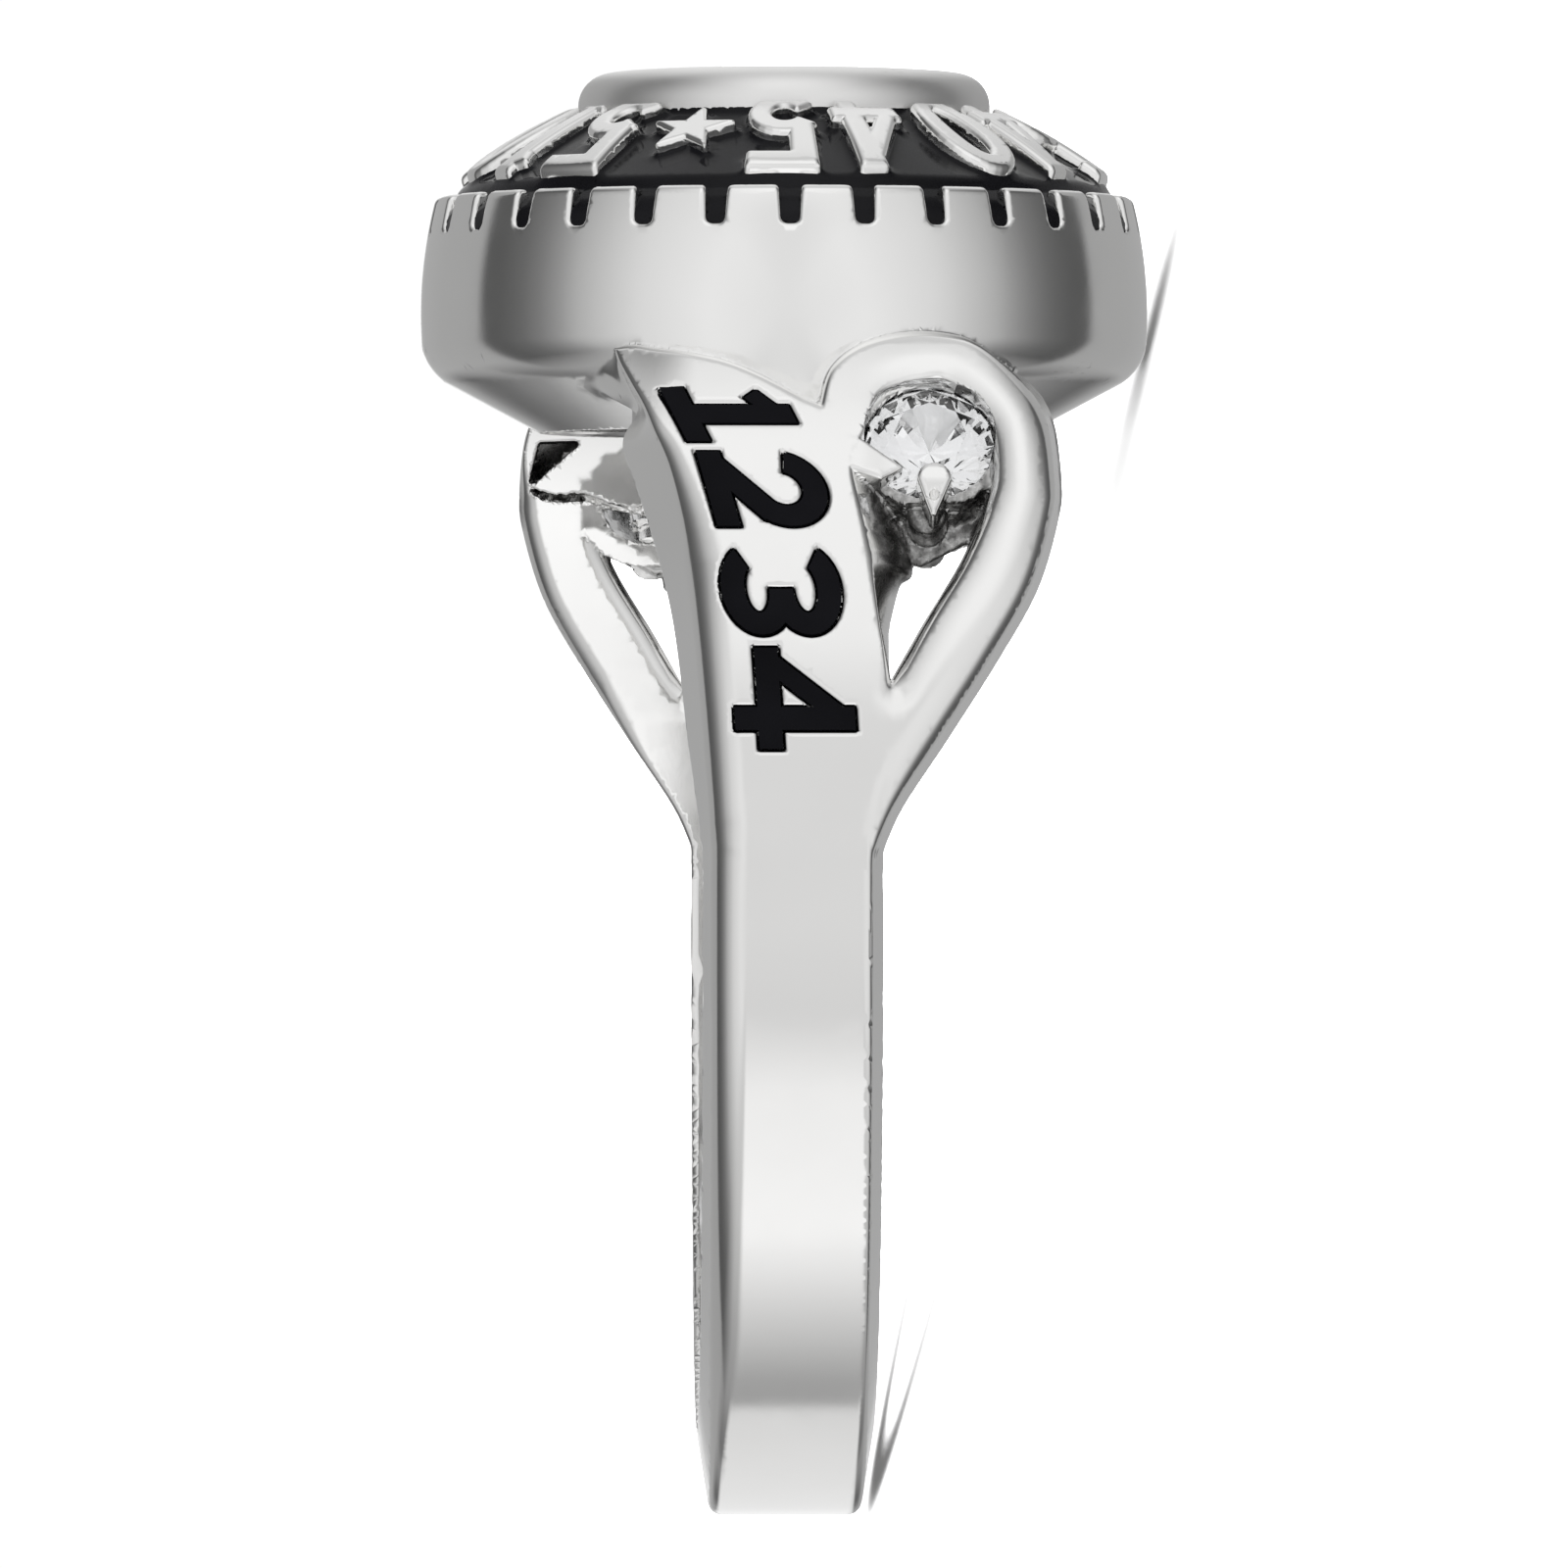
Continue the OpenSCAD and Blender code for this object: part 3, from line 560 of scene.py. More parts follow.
def head(x, y, z):
    """The head with bezel, numerals and notches."""
    r = np.hypot(x, y)
    aside = np.abs(y * np.where(x < 0, -1, 1).astype(np.float32) - HEART_MIDDLE)
    d = meet(barrel(r, z, HEART_DROP * ss(2.45, 1.6, aside)), z - RIM_Z, RIM_ROUND)
    high = np.nonzero(z > DETAIL_Z)[0]
    if len(high):
        hx, hy, hz, hr = x[high], y[high], z[high], r[high]
        v = meet(d[high], -cavity_field(hr, hz), HEAD_EDGE)
        bezel = meet(hr - BEZEL_R, hz - BEZEL_Z, BEZEL_ROUND)
        v = join(v, np.maximum(bezel, BEZEL_FOOT_Z - hz), 0.06)
        notch = np.maximum(notch_distance(hx, hy, hz), CHANNEL_R - 0.12 - hr)
        v = meet(v, -notch, NOTCH_EDGE)
        marks = meet(dial_distance(hx, hy, hz), hr - (NUM_OUT + 0.09), 0.13)
        marks = meet(marks, BEZEL_R + 0.12 - hr, HEAD_EDGE)
        d[high] = join(v, np.maximum(marks, MARK_FOOT_Z - hz), 0.04)
    return meet(d, -back_field(r, z), HEAD_EDGE)


def horn_back(y, z):
    """How far the shoulder's face bends back towards the tip of its horn."""
    return 0.7 * ss(1.5, 3.7, -y) * ss(8.2, 10.4, z)


# By height: the border between loop and arm, the middle of the arm's face, and the radius of
# the arm's left edge
MID_Z = np.array([-3, 1.5, 4.35, 8.0, 9.3, 10.5], np.float32)
MID_Y = np.array([0.6, 1.1, 1.60, 2.2, 1.2, 0.5], np.float32)
ARM_Z = np.array([6, 8, 9.2, 9.8, 10.3], np.float32)
ARM_Y = np.array([0, -0.4, -1.7, -2.5, -3.1], np.float32)
EDGE_Z = np.array([6.5, 8, 9.5], np.float32)
EDGE_R = np.array([0.55, 0.3, 0.13], np.float32)
WALL_DEPTH = 1.7
INSET = 0.23
CROWN_W, CROWN_H = 0.6, 0.17


def by_height(z, zs, values):
    """Values read at the heights z, in between those listed."""
    return np.interp(z, zs, values).astype(np.float32)


def crowned(d):
    """1 on a crowned face's edge at distance 0, 0 past the crown's width."""
    return (1 - np.clip(d / CROWN_W, 0, 1)) ** 2


def shoulder(y, z, ra):
    """One heart shoulder: the walls lean out from the face's outline to the flank's."""
    loop = ss(-0.25, 0.3 + 1.3 * ss(8.3, 9.2, z), y - by_height(z, MID_Z, MID_Y))
    left = ss(0.3, -0.3, y - by_height(z, ARM_Z, ARM_Y)) * (1 - loop)
    deep = np.clip((ARC_R - ra) / WALL_DEPTH, 0, 1)
    # along the top the walls are upright and the barrel comes down behind them
    top = ss(8.3, 9.3, z) * ss(-3.3, -2.5, y) * ss(4.3, 2.9, y)
    face = face_out(y, z)
    out = face + INSET * loop * (1 - top)
    wall = out + deep * (1 - top) * (flank_out(y, z) - out)
    hole_face = hole_in(y, z)
    lean = np.minimum(deep * 1.2, 1)
    hole = hole_face + lean * (2 - lean) * (flank_hole_in(y, z) - hole_face)
    # the loop's face is crowned
    tube = loop * ss(1.0, 3.5, z)
    crown = crowned(-out) * (1 - 0.9 * top) + crowned(hole_face)
    skin = ra - ARC_R + horn_back(y, z) + CROWN_H * tube * crown
    edge = 0.12 * (1 - left - loop) + left * by_height(z, EDGE_Z, EDGE_R)
    body = meet(wall, skin, edge + loop * 0.09 + 0.09 * tube)
    body = meet(body, -hole, 0.07 + 0.12 * tube)
    body = join(body, meet(ra - BACKING_R, backing_in(y, z), 0.08), 0.06)
    body = meet(body, INNER_R - ra, 0.08 + 0.3 * loop * ss(8.6, 7.6, z))
    return np.maximum(body, -1.5 - z)


SEAM_Z, SEAM_Y, SEAM_TILT = 7.58, 2.5, 0.17
PIT = [(3.66, 8.74), (4.26, 8.72), (4.42, 8.1), (4.05, 8.42)]
PIT_DEPTH = 0.7


def inner_marks(y, z, ra, grain):
    """A rough seam inside, over the collar, and a pit at the loop's top."""
    over = z - SEAM_Z - SEAM_TILT * (y - SEAM_Y) + 0.05 * np.sin(5 * y)
    seam = np.maximum(np.abs(over) - 0.07 - 0.03 * grain, np.abs(y - 3.3) - 1.15)
    pit = polygon(PIT, y, z) - 0.06
    depth = np.where(pit < seam, PIT_DEPTH, 0.32 + 0.05 * grain)
    return np.maximum(np.minimum(seam, pit), ra - INNER_R - depth)


def rough(x, y, z):
    """An uneven cast surface, between -1 and 1."""
    a = np.sin(17 * x + 3 * np.sin(9 * y + 2)) * np.sin(19 * y + 2 * np.sin(11 * z))
    return a * 0.6 + 0.4 * np.sin(31 * z + 4 * np.sin(13 * x)) * np.sin(29 * y + 5 * np.sin(7 * z))


def drop(p, q, tip, foot, x, y):
    """A drop in the plane, from a round end at p to a narrow one at q."""
    ax, ay = q[0] - p[0], q[1] - p[1]
    t = np.clip(((x - p[0]) * ax + (y - p[1]) * ay) / (ax * ax + ay * ay), 0, 1)
    return np.hypot(x - p[0] - t * ax, y - p[1] - t * ay) - (tip + t * (foot - tip))


COLLAR_R = 1.3
CLAW = [(0.1, -1.6), (0.14, -1.25), (0.68, -0.5), (0.9, -0.85), (0.66, -1.6)]


def with_setting(p, ra, d):
    """The casting with the side stone's collar, seat, claw and prong, and the marks inside."""
    x, y, z = p.T
    u, v, w = local(p, stone_frame)
    r = np.hypot(u, v)
    grain = rough(x, y, z)
    # the collar is rough below, with a ridge on its outside towards the arm
    collar = meet(r - COLLAR_R - 0.03 * grain * ss(0.1, 0.8, u), w - SIDE_GIRDLE, 0.06)
    ridge = np.hypot(u - 0.95, v + 1.0) - 0.17 - 1.5 * (0.03 * grain)
    collar = join(collar, np.maximum(ridge, w + 0.1), 0.06)
    collar = meet(collar, INNER_R - ra, 0.06)
    # the seat's cone, and the hole under it, which metal covers above the seam inside
    cover = np.maximum(SEAM_Z - 0.08 + SEAM_TILT * (y - SEAM_Y) - z, ra - INNER_R - 0.5)
    hole = np.maximum(r - SIDE_D / 2 * 0.75, -cover)
    cone = (r - SIDE_SEAT_R) * 0.65 - (w + SIDE_GIRDLE) * 0.76
    below = np.minimum(hole, np.maximum(cone, -0.4 - w))
    seat = np.where(w < -SIDE_GIRDLE, below, r - SIDE_SEAT_R)
    gap = np.maximum(np.maximum(np.abs(v - 0.05) - 0.46, np.abs(u - 1.36) - 0.16), -0.25 - w)
    # a flat claw from the arm
    claw = meet(polygon(CLAW, u, v) - 0.03, ra - ARC_R + 0.005 + 0.08 * ss(-1.3, -0.5, v), 0.08)
    claw = np.maximum(claw, 0.05 - w)
    # a shield-shaped prong towards the palm, with a dimple, on a smooth stem
    prong = drop((0.95, 0.06), (1.52, 0.04), 0.3, 0.07, u, v)
    prong = np.maximum(meet(prong, w - 0.52 + 0.2 * ss(0.8, 1.6, u), 0.1), -0.9 - w)
    stem = meet(np.hypot((u - 1.2) * 0.8, v + 0.05) - 0.36, w + 0.12, 0.16)
    prong = join(prong, np.maximum(stem, -1.4 - w), 0.03)
    dimple = np.hypot(np.hypot(u - 1.25, v - 0.05), (w - 0.4) * 0.6) - 0.085
    prong = meet(prong, -dimple, 0.02)

    d = join(d, collar, 0.001 + 0.08 * ss(INNER_R + 0.1, INNER_R + 0.4, ra))
    d = meet(np.maximum(d, -seat), -gap, 0.04)
    d = join(join(d, claw, 0.02), prong, 0.02)
    return meet(d, -inner_marks(y, z, ra, grain), 0.04)


BAND_LEAN = 0.16
BAND_EDGE = 0.2
HEAD_ONLY_Z = 11.35


def band(y, z, rho):
    """The plain band. Its sides lean in; beside the arms one edge is round, the other sharp."""
    lean = (np.abs(y) - HALF_BAND + BAND_LEAN * (rho - BORE_R)) / math.hypot(1, BAND_LEAN)
    beside = ss(-9.8, -6.5, z)
    edge = BAND_EDGE + beside * (0.32 * ss(0.3, -0.3, y) - 0.12 * ss(-0.3, 0.3, y))
    return meet(rho - BAND_R, lean, edge)


def below_head(x, y, z, flip, d):
    """All that lies under HEAD_ONLY_Z, for points turned to the near half. d is the band."""
    ra = np.hypot(x - ARC_X, z)
    up = np.nonzero((z > -2) & (x > 2))[0]
    if len(up):
        uy, uz = y[up], z[up]
        open_band = meet(d[up], -flank_hole_in(uy, uz), 0.1)
        d[up] = join(open_band, shoulder(uy, uz, ra[up]), 0.01 + 0.11 * ss(1.0, 4.5, uz))
    # the head, with the flank flowing into it under the horn
    hd = np.full(len(z), 9.0, np.float32)
    hi = np.nonzero(z > 7.5)[0]
    if len(hi):
        hd[hi] = head(x[hi] * flip[hi], y[hi] * flip[hi], z[hi])
    left = ss(0.2, -1.6, y) * ss(7.6, 9.4, z)
    under_horn = ss(0.3, -0.2, 0.745 * (y + 4.04) + 0.67 * (z - 10.99))
    d = join(d, hd, 0.06 + 0.75 * left * under_horn * ss(10.3, 9.4, z))
    near = np.nonzero((x > 5) & (y > 0.6) & (z > 5.6) & (z < 10.6))[0]
    if len(near):
        d[near] = with_setting(np.stack([x[near], y[near], z[near]], 1), ra[near], d[near])
    for place, field in zip(digit_frames, digit_fields):
        o = place[0]
        beside = (np.abs(y - o[1]) < 1.5) & (np.abs(z - o[2]) < 1.5)
        near = np.nonzero(beside & (x > o[0] - 1.6))[0]
        if len(near):
            u, v, w = local(np.stack([x[near], y[near], z[near]], 1), place)
            recess = np.maximum(field(u, v), -DIGIT_DEPTH - w)
            d[near] = meet(d[near], -recess, 0.09)
    return d


def casting(p):
    """Distance to the whole casting, for points of the standing ring."""
    x, y, z = p.T
    flip = np.where(x < 0, -1, 1).astype(np.float32)
    rho = np.hypot(x * flip, z)
    d = band(y * flip, z, rho)
    low = np.nonzero(z < HEAD_ONLY_Z)[0]
    if len(low):
        f = flip[low]
        d[low] = below_head(x[low] * f, y[low] * f, z[low], f, d[low])
    top = np.nonzero(z >= HEAD_ONLY_Z)[0]
    if len(top):
        d[top] = head(x[top], y[top], z[top])
    hollow = np.nonzero((z > 6.0) & (z < 14.0))[0]
    hr = np.hypot(x[hollow], y[hollow])
    d[hollow] = meet(d[hollow], -back_field(hr, z[hollow]), HEAD_EDGE)
    return meet(d, BORE_R - rho, 0.12)


# ---- from distance to mesh

CORNERS = np.array([[i, j, k] for i in (0, 1) for j in (0, 1) for k in (0, 1)], np.int64)
PAIRS = [(a, b) for a in range(8) for b in range(a + 1, 8)]
EDGES = [(a, b) for a, b in PAIRS if np.abs(CORNERS[a] - CORNERS[b]).sum() == 1]
LEVELS = 4
LOT = 400000
ROW = 8192
# Sizes of joined cells, in steps of the grid, and how even the surface has to be for each
EVEN = [(2, 0.9975), (4, 0.9985)]


def in_lots(f, p):
    """f at many points, a lot at a time."""
    p = p.astype(np.float32)
    if len(p) <= LOT:
        return f(p)
    return np.concatenate([f(p[i : i + LOT]) for i in range(0, len(p), LOT)])


def slope(f, p, e=0.008):
    """Value and gradient, from four points around each."""
    k = np.array([[1, -1, -1], [-1, -1, 1], [-1, 1, -1], [1, 1, 1]], np.float32)
    vals = [in_lots(f, p + e * row) for row in k]
    g = sum(v[:, None] * row for v, row in zip(vals, k)) / (4 * e)
    return sum(vals) / 4, g


def moved(v, d, g):
    """Points moved along the gradient to where the distance is zero."""
    return v - (d / np.maximum((g * g).sum(1), 0.05))[:, None] * g


def unit(g):
    """Vectors brought to length 1."""
    return g / np.maximum(np.linalg.norm(g, axis=1), 1e-6)[:, None]


def used_only(faces, *arrays):
    """Faces renumbered for the vertices that they use, and those vertices' rows."""
    used, back = np.unique(faces, return_inverse=True)
    return back.reshape(faces.shape), *(a[used] for a in arrays)


def close_cells(f, lo, hi, h, keep):
    """The cells of the grid that lie near the surface, found from large ones down."""
    size = h * 2**LEVELS
    n = np.ceil((hi - lo) / size - 1e-6).astype(int)
    grid = np.meshgrid(*[np.arange(k) for k in n], indexing="ij")
    c = np.stack(grid, -1).reshape(-1, 3).astype(np.int64)
    for level in range(LEVELS + 1):
        mid = lo + (c + 0.5) * size
        ok = keep(mid, size)
        c, mid = c[ok], mid[ok]
        c = c[np.abs(in_lots(f, mid)) < size * 1.45]
        if level < LEVELS:
            c = (c[:, None] * 2 + CORNERS[None]).reshape(-1, 3)
            size /= 2
    return c


def grid_quads(f, lo, h, c):
    """The crossed cells among c, a vertex in each, and quads between neighbours."""
    span = int(c.max()) + 3

    def key(q):
        return (q[..., 0] * span + q[..., 1]) * span + q[..., 2]

    ck = key(c[:, None] + CORNERS[None])
    uk, inv = np.unique(ck, return_inverse=True)
    ijk = np.stack([uk // (span * span), (uk // span) % span, uk % span], 1)
    val = in_lots(f, lo + ijk * h)
    val = np.where(np.abs(val) < 1e-6, 1e-6, val)
    cv = val[inv.reshape(ck.shape)]
    inside = cv < 0
    act = inside.any(1) & ~inside.all(1)
    c, cv, inside = c[act], cv[act], inside[act]
    # each vertex starts at the mean of its cell's edge crossings
    acc, cnt = np.zeros((len(c), 3)), np.zeros(len(c))
    for a, b in EDGES:
        m = inside[:, a] != inside[:, b]
        va, vb = cv[m, a], cv[m, b]
        t = va / (va - vb)
        acc[m] += CORNERS[a] + t[:, None] * (CORNERS[b] - CORNERS[a])
        cnt[m] += 1
    v = lo + (c + acc / cnt[:, None]) * h
    order = np.argsort(key(c))
    sk = key(c)[order]

    def find(q):
        k = key(q)
        i = np.minimum(np.searchsorted(sk, k), len(sk) - 1)
        return np.where(sk[i] == k, order[i], -1)

    # a quad lies across each grid edge that changes sign
    quads = []
    for axis in range(3):
        b, d = [np.eye(3, dtype=np.int64)[(axis + k) % 3] for k in (1, 2)]
        m = np.nonzero(inside[:, 0] != inside[:, 4 >> axis])[0]
        quad = np.stack([m, find(c[m] - b), find(c[m] - b - d), find(c[m] - d)], 1)
        ok = (quad >= 0).all(1)
        quad, turn = quad[ok], inside[m, 0][ok]
        quad[~turn] = quad[~turn][:, ::-1]
        quads.append(quad)
    return c, v, np.concatenate(quads)


def joined(v, n, locked, tri, cell, least):
    """Vertices in the same cell become one where the surface is even. Locked ones stay."""
    k = cell.astype(np.int64)
    key = (k[:, 0] * ROW + k[:, 1]) * ROW + k[:, 2]
    key[locked] = -1 - np.arange(locked.sum())
    _, grp, count = np.unique(key, return_inverse=True, return_counts=True)
    grp = grp.reshape(-1)

    def mean(q):
        return np.stack([np.bincount(grp, q[:, a], len(count)) / count for a in range(3)], 1)

    mn, mv = mean(n), mean(v)
    even = (np.linalg.norm(mn, axis=1) > least) & (count > 1)
    first, idx = np.full(len(count), -1), np.arange(len(v))
    first[grp[::-1]] = idx[::-1]
    rep = first[even]
    v[rep], n[rep] = mv[even], unit(mn[even])
    tri = np.where(even[grp], first[grp], idx)[tri]
    tri = tri[(tri[:, 0] != tri[:, 1]) & (tri[:, 1] != tri[:, 2]) & (tri[:, 0] != tri[:, 2])]
    tri, v, n, locked = used_only(tri, v, n, locked)
    return v, n, locked, tri


def surface(f, lo, hi, h, keep, planes=()):
    """Triangles on the zero of f inside a box, with a normal for each vertex.
    planes lists (axis, value) cuts that the rim lies on exactly."""
    lo, hi = np.asarray(lo, float), np.asarray(hi, float)
    c, v, quad = grid_quads(f, lo, h, close_cells(f, lo, hi, h, keep))
    # onto the surface, with the rims held on their cuts
    cut_axis, cut_value = np.full(len(v), -1), np.zeros(len(v))
    mid = lo + (c + 0.5) * h
    for axis, value in planes:
        on = np.abs(mid[:, axis] - value) < 0.1 * h
        cut_axis[on], cut_value[on] = axis, value
    start = v.copy()
    for _ in range(2):
        d, g = slope(f, v)
        rims = [(axis, cut_axis == axis) for axis in range(3)]
        for axis, on in rims:
            g[on, axis] = 0
        v = moved(v, d, g)
        for axis, on in rims:
            v[on, axis] = cut_value[on]
        far = np.abs(v - start).max(1) > 1.2 * h
        v[far] = start[far]
    n = unit(slope(f, v)[1])
    quad, v, n, locked = used_only(quad, v, n, cut_axis >= 0)
    # each quad splits where its halves bend least
    a, b, c, d = n[quad].transpose(1, 0, 2)
    bend = ((a * c).sum(1) < (b * d).sum(1))[:, None]
    tri = np.concatenate([
        np.where(bend, quad[:, [1, 2, 3]], quad[:, [0, 1, 2]]),
        np.where(bend, quad[:, [1, 3, 0]], quad[:, [0, 2, 3]]),
    ])
    for size, least in EVEN:
        cell = np.floor((v - lo) / (h * size) + 0.31)
        v, n, locked, tri = joined(v, n, locked, tri, cell, least)
    d, g = slope(f, v)
    g[locked] = 0
    v = moved(v, d, g)
    n = unit(slope(f, v)[1])
    face = np.cross(v[tri[:, 1]] - v[tri[:, 0]], v[tri[:, 2]] - v[tri[:, 0]])
    wrong = (face * n[tri].mean(1)).sum(1) < 0
    tri[wrong] = tri[wrong][:, ::-1]
    return v, tri, n


SHARP = math.cos(math.radians(28))
PLUMP = 0.3


def corner_normals(v, tri, n):
    """The surface's normals. A plump triangle that lies across a sharp edge keeps its own there."""
    side = v[np.roll(tri, -1, 1)] - v[tri]
    face = np.cross(side[:, 0], side[:, 1])
    area = np.linalg.norm(face, axis=1)
    face /= np.maximum(area, 1e-12)[:, None]
    plump = area > PLUMP * (side**2).sum(2).max(1)
    corner = n[tri]
    bent = (np.einsum("ijk,ik->ij", corner, face) < SHARP) & plump[:, None]
    return np.where(bent[..., None], face[:, None], corner).reshape(-1, 3)


def in_scene(name, data):
    o = bpy.data.objects.new(name, data)
    bpy.context.scene.collection.objects.link(o)
    return o


def put(name, v, tri, n, material, nodes):
    """A mesh of the standing ring, put where the ring lies."""
    co = to_row(v)
    # joined vertices can leave two triangles on the same corners
    _, first = np.unique(np.sort(tri, 1), axis=0, return_index=True)
    tri = tri[np.sort(first)]
    me = bpy.data.meshes.new(name)
    me.vertices.add(len(co))
    me.vertices.foreach_set("co", co.astype(np.float32).ravel())
    me.loops.add(3 * len(tri))
    me.loops.foreach_set("vertex_index", tri.astype(np.int32).ravel())
    me.polygons.add(len(tri))
    me.polygons.foreach_set("loop_start", np.arange(0, 3 * len(tri), 3, dtype=np.int32))
    me.polygons.foreach_set("use_smooth", np.ones(len(tri), bool))
    me.update(calc_edges=True)
    me.validate()
    me.normals_split_custom_set((corner_normals(v, tri, n) @ AXES).astype(np.float32))
    me.materials.append(material)
    o = in_scene(name, me)
    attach(o, "root")
    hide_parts(*nodes)
    print(f"{name}: {len(co)} vertices, {len(tri)} triangles, {time.time() - START:.1f} s")


# ---- materials


def material(name):
    m = bpy.data.materials.new(name)
    m.use_nodes = True
    nt = m.node_tree
    return m, nt, nt.nodes["Principled BSDF"], nt.nodes.new("ShaderNodeTexCoord").outputs["Object"]


def noise(nt, at, scale, detail, rough):
    t = nt.nodes.new("ShaderNodeTexNoise")
    t.inputs["Scale"].default_value = scale
    t.inputs["Detail"].default_value = detail
    t.inputs["Roughness"].default_value = rough
    nt.links.new(at, t.inputs["Vector"])
    return t.outputs["Fac"]


def ranged(nt, value, a, b, lo=0, hi=1):
    """From lo to hi as value goes from a to b."""
    r = nt.nodes.new("ShaderNodeMapRange")
    for name, v in (("From Min", a), ("From Max", b), ("To Min", lo), ("To Max", hi)):
        r.inputs[name].default_value = v
    nt.links.new(value, r.inputs["Value"])
    return r.outputs["Result"]


def calc(nt, op, a, b=0.0):
    """A math node between sockets or numbers."""
    n = nt.nodes.new("ShaderNodeMath")
    n.operation = op
    for k, v in enumerate((a, b)):
        if isinstance(v, (int, float)):
            n.inputs[k].default_value = v
        else:
            nt.links.new(v, n.inputs[k])
    return n.outputs["Value"]


def length(nt, a, b):
    """Length of a vector with the parts a and b."""
    squares = calc(nt, "MULTIPLY", a, a), calc(nt, "MULTIPLY", b, b)
    return calc(nt, "SQRT", calc(nt, "ADD", *squares))


def dot(nt, at, axis):
    n = nt.nodes.new("ShaderNodeVectorMath")
    n.operation = "DOT_PRODUCT"
    nt.links.new(at, n.inputs[0])
    n.inputs[1].default_value = tuple(axis)
    return n.outputs["Value"]


def mix(nt, fac, a, b):
    """From a to b, each a colour or a socket."""
    n = nt.nodes.new("ShaderNodeMix")
    n.data_type = "RGBA"
    nt.links.new(fac, n.inputs["Factor"])
    for name, v in (("A", a), ("B", b)):
        if isinstance(v, tuple):
            n.inputs[name].default_value = (*v, 1)
        else:
            nt.links.new(v, n.inputs[name])
    return n.outputs["Result"]


def bump(nt, height, strength, distance):
    n = nt.nodes.new("ShaderNodeBump")
    n.inputs["Strength"].default_value = strength
    n.inputs["Distance"].default_value = distance
    nt.links.new(height, n.inputs["Height"])
    return n


def ring_space(nt, at):
    """Coordinates of the standing ring in mm, with the far half turned to the near one."""
    x, y, z = (calc(nt, "SUBTRACT", dot(nt, at, a * 1000), float(ORIGIN @ a)) for a in AXES)
    return calc(nt, "ABSOLUTE", x), calc(nt, "MULTIPLY", y, calc(nt, "SIGN", x)), z


def painted_recess_shade(nt, at):
    """1 where shade is painted on the metal deep in the settings, 0 elsewhere."""
    x, y, z = ring_space(nt, at)
    ra = length(nt, calc(nt, "SUBTRACT", x, ARC_X), z)

    def all_of(*limits):
        out = None
        for value, a, b in limits:
            mask = ranged(nt, value, a, b)
            out = mask if out is None else calc(nt, "MULTIPLY", out, mask)
        return out

    # distance from the stone's axis
    o, down, _, _ = stone_frame
    along_x = calc(nt, "MULTIPLY", calc(nt, "SUBTRACT", x, float(o[0])), float(down[0]))
    along_z = calc(nt, "MULTIPLY", calc(nt, "SUBTRACT", z, float(o[2])), float(down[2]))
    u = calc(nt, "ADD", along_x, along_z)
    off = length(nt, u, calc(nt, "SUBTRACT", y, float(o[1])))
    around = all_of(
        (y, 1.0, 1.2), (y, 3.5, 3.3), (z, 5.8, 6.1), (z, 8.5, 8.0),
        (ra, ARC_R - 0.22, ARC_R - 0.45), (ra, INNER_R + 0.1, INNER_R + 0.3), (off, 1.1, 1.16),
    )
    inside = all_of(
        (y, 2.0, 2.2), (z, 7.2, 7.4), (z, 9.0, 8.9), (ra, INNER_R + 0.85, INNER_R + 0.75),
        (ra, INNER_R + 0.12, INNER_R + 0.25), (off, 1.1, 1.16),
    )
    spots = ranged(nt, noise(nt, at, 3200, 4, 0.7), 0.35, 0.6, 0.45, 1.0)
    return calc(nt, "MULTIPLY", calc(nt, "MAXIMUM", around, inside), spots)


def silver_material():
    m, nt, b, at = material("polished_silver")
    b.inputs["Metallic"].default_value = 1.0
    height, base = dot(nt, at, AXES[2] * 1000), float(ORIGIN @ AXES[2])
    # the metal's colour is lighter towards the head, and the bezel has a satin finish
    bright = ranged(nt, height, base, base + 9.0, 0.0, 0.85)
    satin = ranged(nt, height, base + 14.28, base + 14.42, 0.0, 0.27)
    grain = ranged(nt, noise(nt, at, 420, 4, 0.6), 0.3, 0.7, 0.0, 0.15)
    tone = mix(nt, calc(nt, "ADD", bright, grain), (0.87, 0.866, 0.858), (0.97, 0.968, 0.96))
    # painted shade: deep in the settings the colour goes near black, standing in for the shade in
    # the recesses; the metal there is rougher too
    deep = painted_recess_shade(nt, at)
    nt.links.new(mix(nt, deep, tone, (0.16, 0.158, 0.155)), b.inputs["Base Color"])
    polish = ranged(nt, noise(nt, at, 900, 5, 0.6), 0.3, 0.7, 0.10, 0.16)
    dull = calc(nt, "ADD", calc(nt, "ADD", polish, satin), ranged(nt, deep, 0, 1, 0, 0.2))
    nt.links.new(dull, b.inputs["Roughness"])
    wave = bump(nt, noise(nt, at, 350, 2, 0.4), 0.25, 0.00002)
    fine = bump(nt, noise(nt, at, 5200, 4, 0.7), 0.12, 0.000004)
    nt.links.new(wave.outputs["Normal"], fine.inputs["Normal"])
    nt.links.new(fine.outputs["Normal"], b.inputs["Normal"])
    return m


def enamel_material(name, ior):
    m, nt, b, at = material(name)
    b.inputs["IOR"].default_value = ior
    tone = mix(nt, noise(nt, at, 600, 3, 0.5), (0.001, 0.001, 0.0012), (0.004, 0.004, 0.005))
    nt.links.new(tone, b.inputs["Base Color"])
    gloss = ranged(nt, noise(nt, at, 1500, 3, 0.5), 0.3, 0.7, 0.05, 0.11)
    nt.links.new(gloss, b.inputs["Roughness"])
    wave = bump(nt, noise(nt, at, 700, 2, 0.5), 0.15, 0.00002)
    nt.links.new(wave.outputs["Normal"], b.inputs["Normal"])
    return m


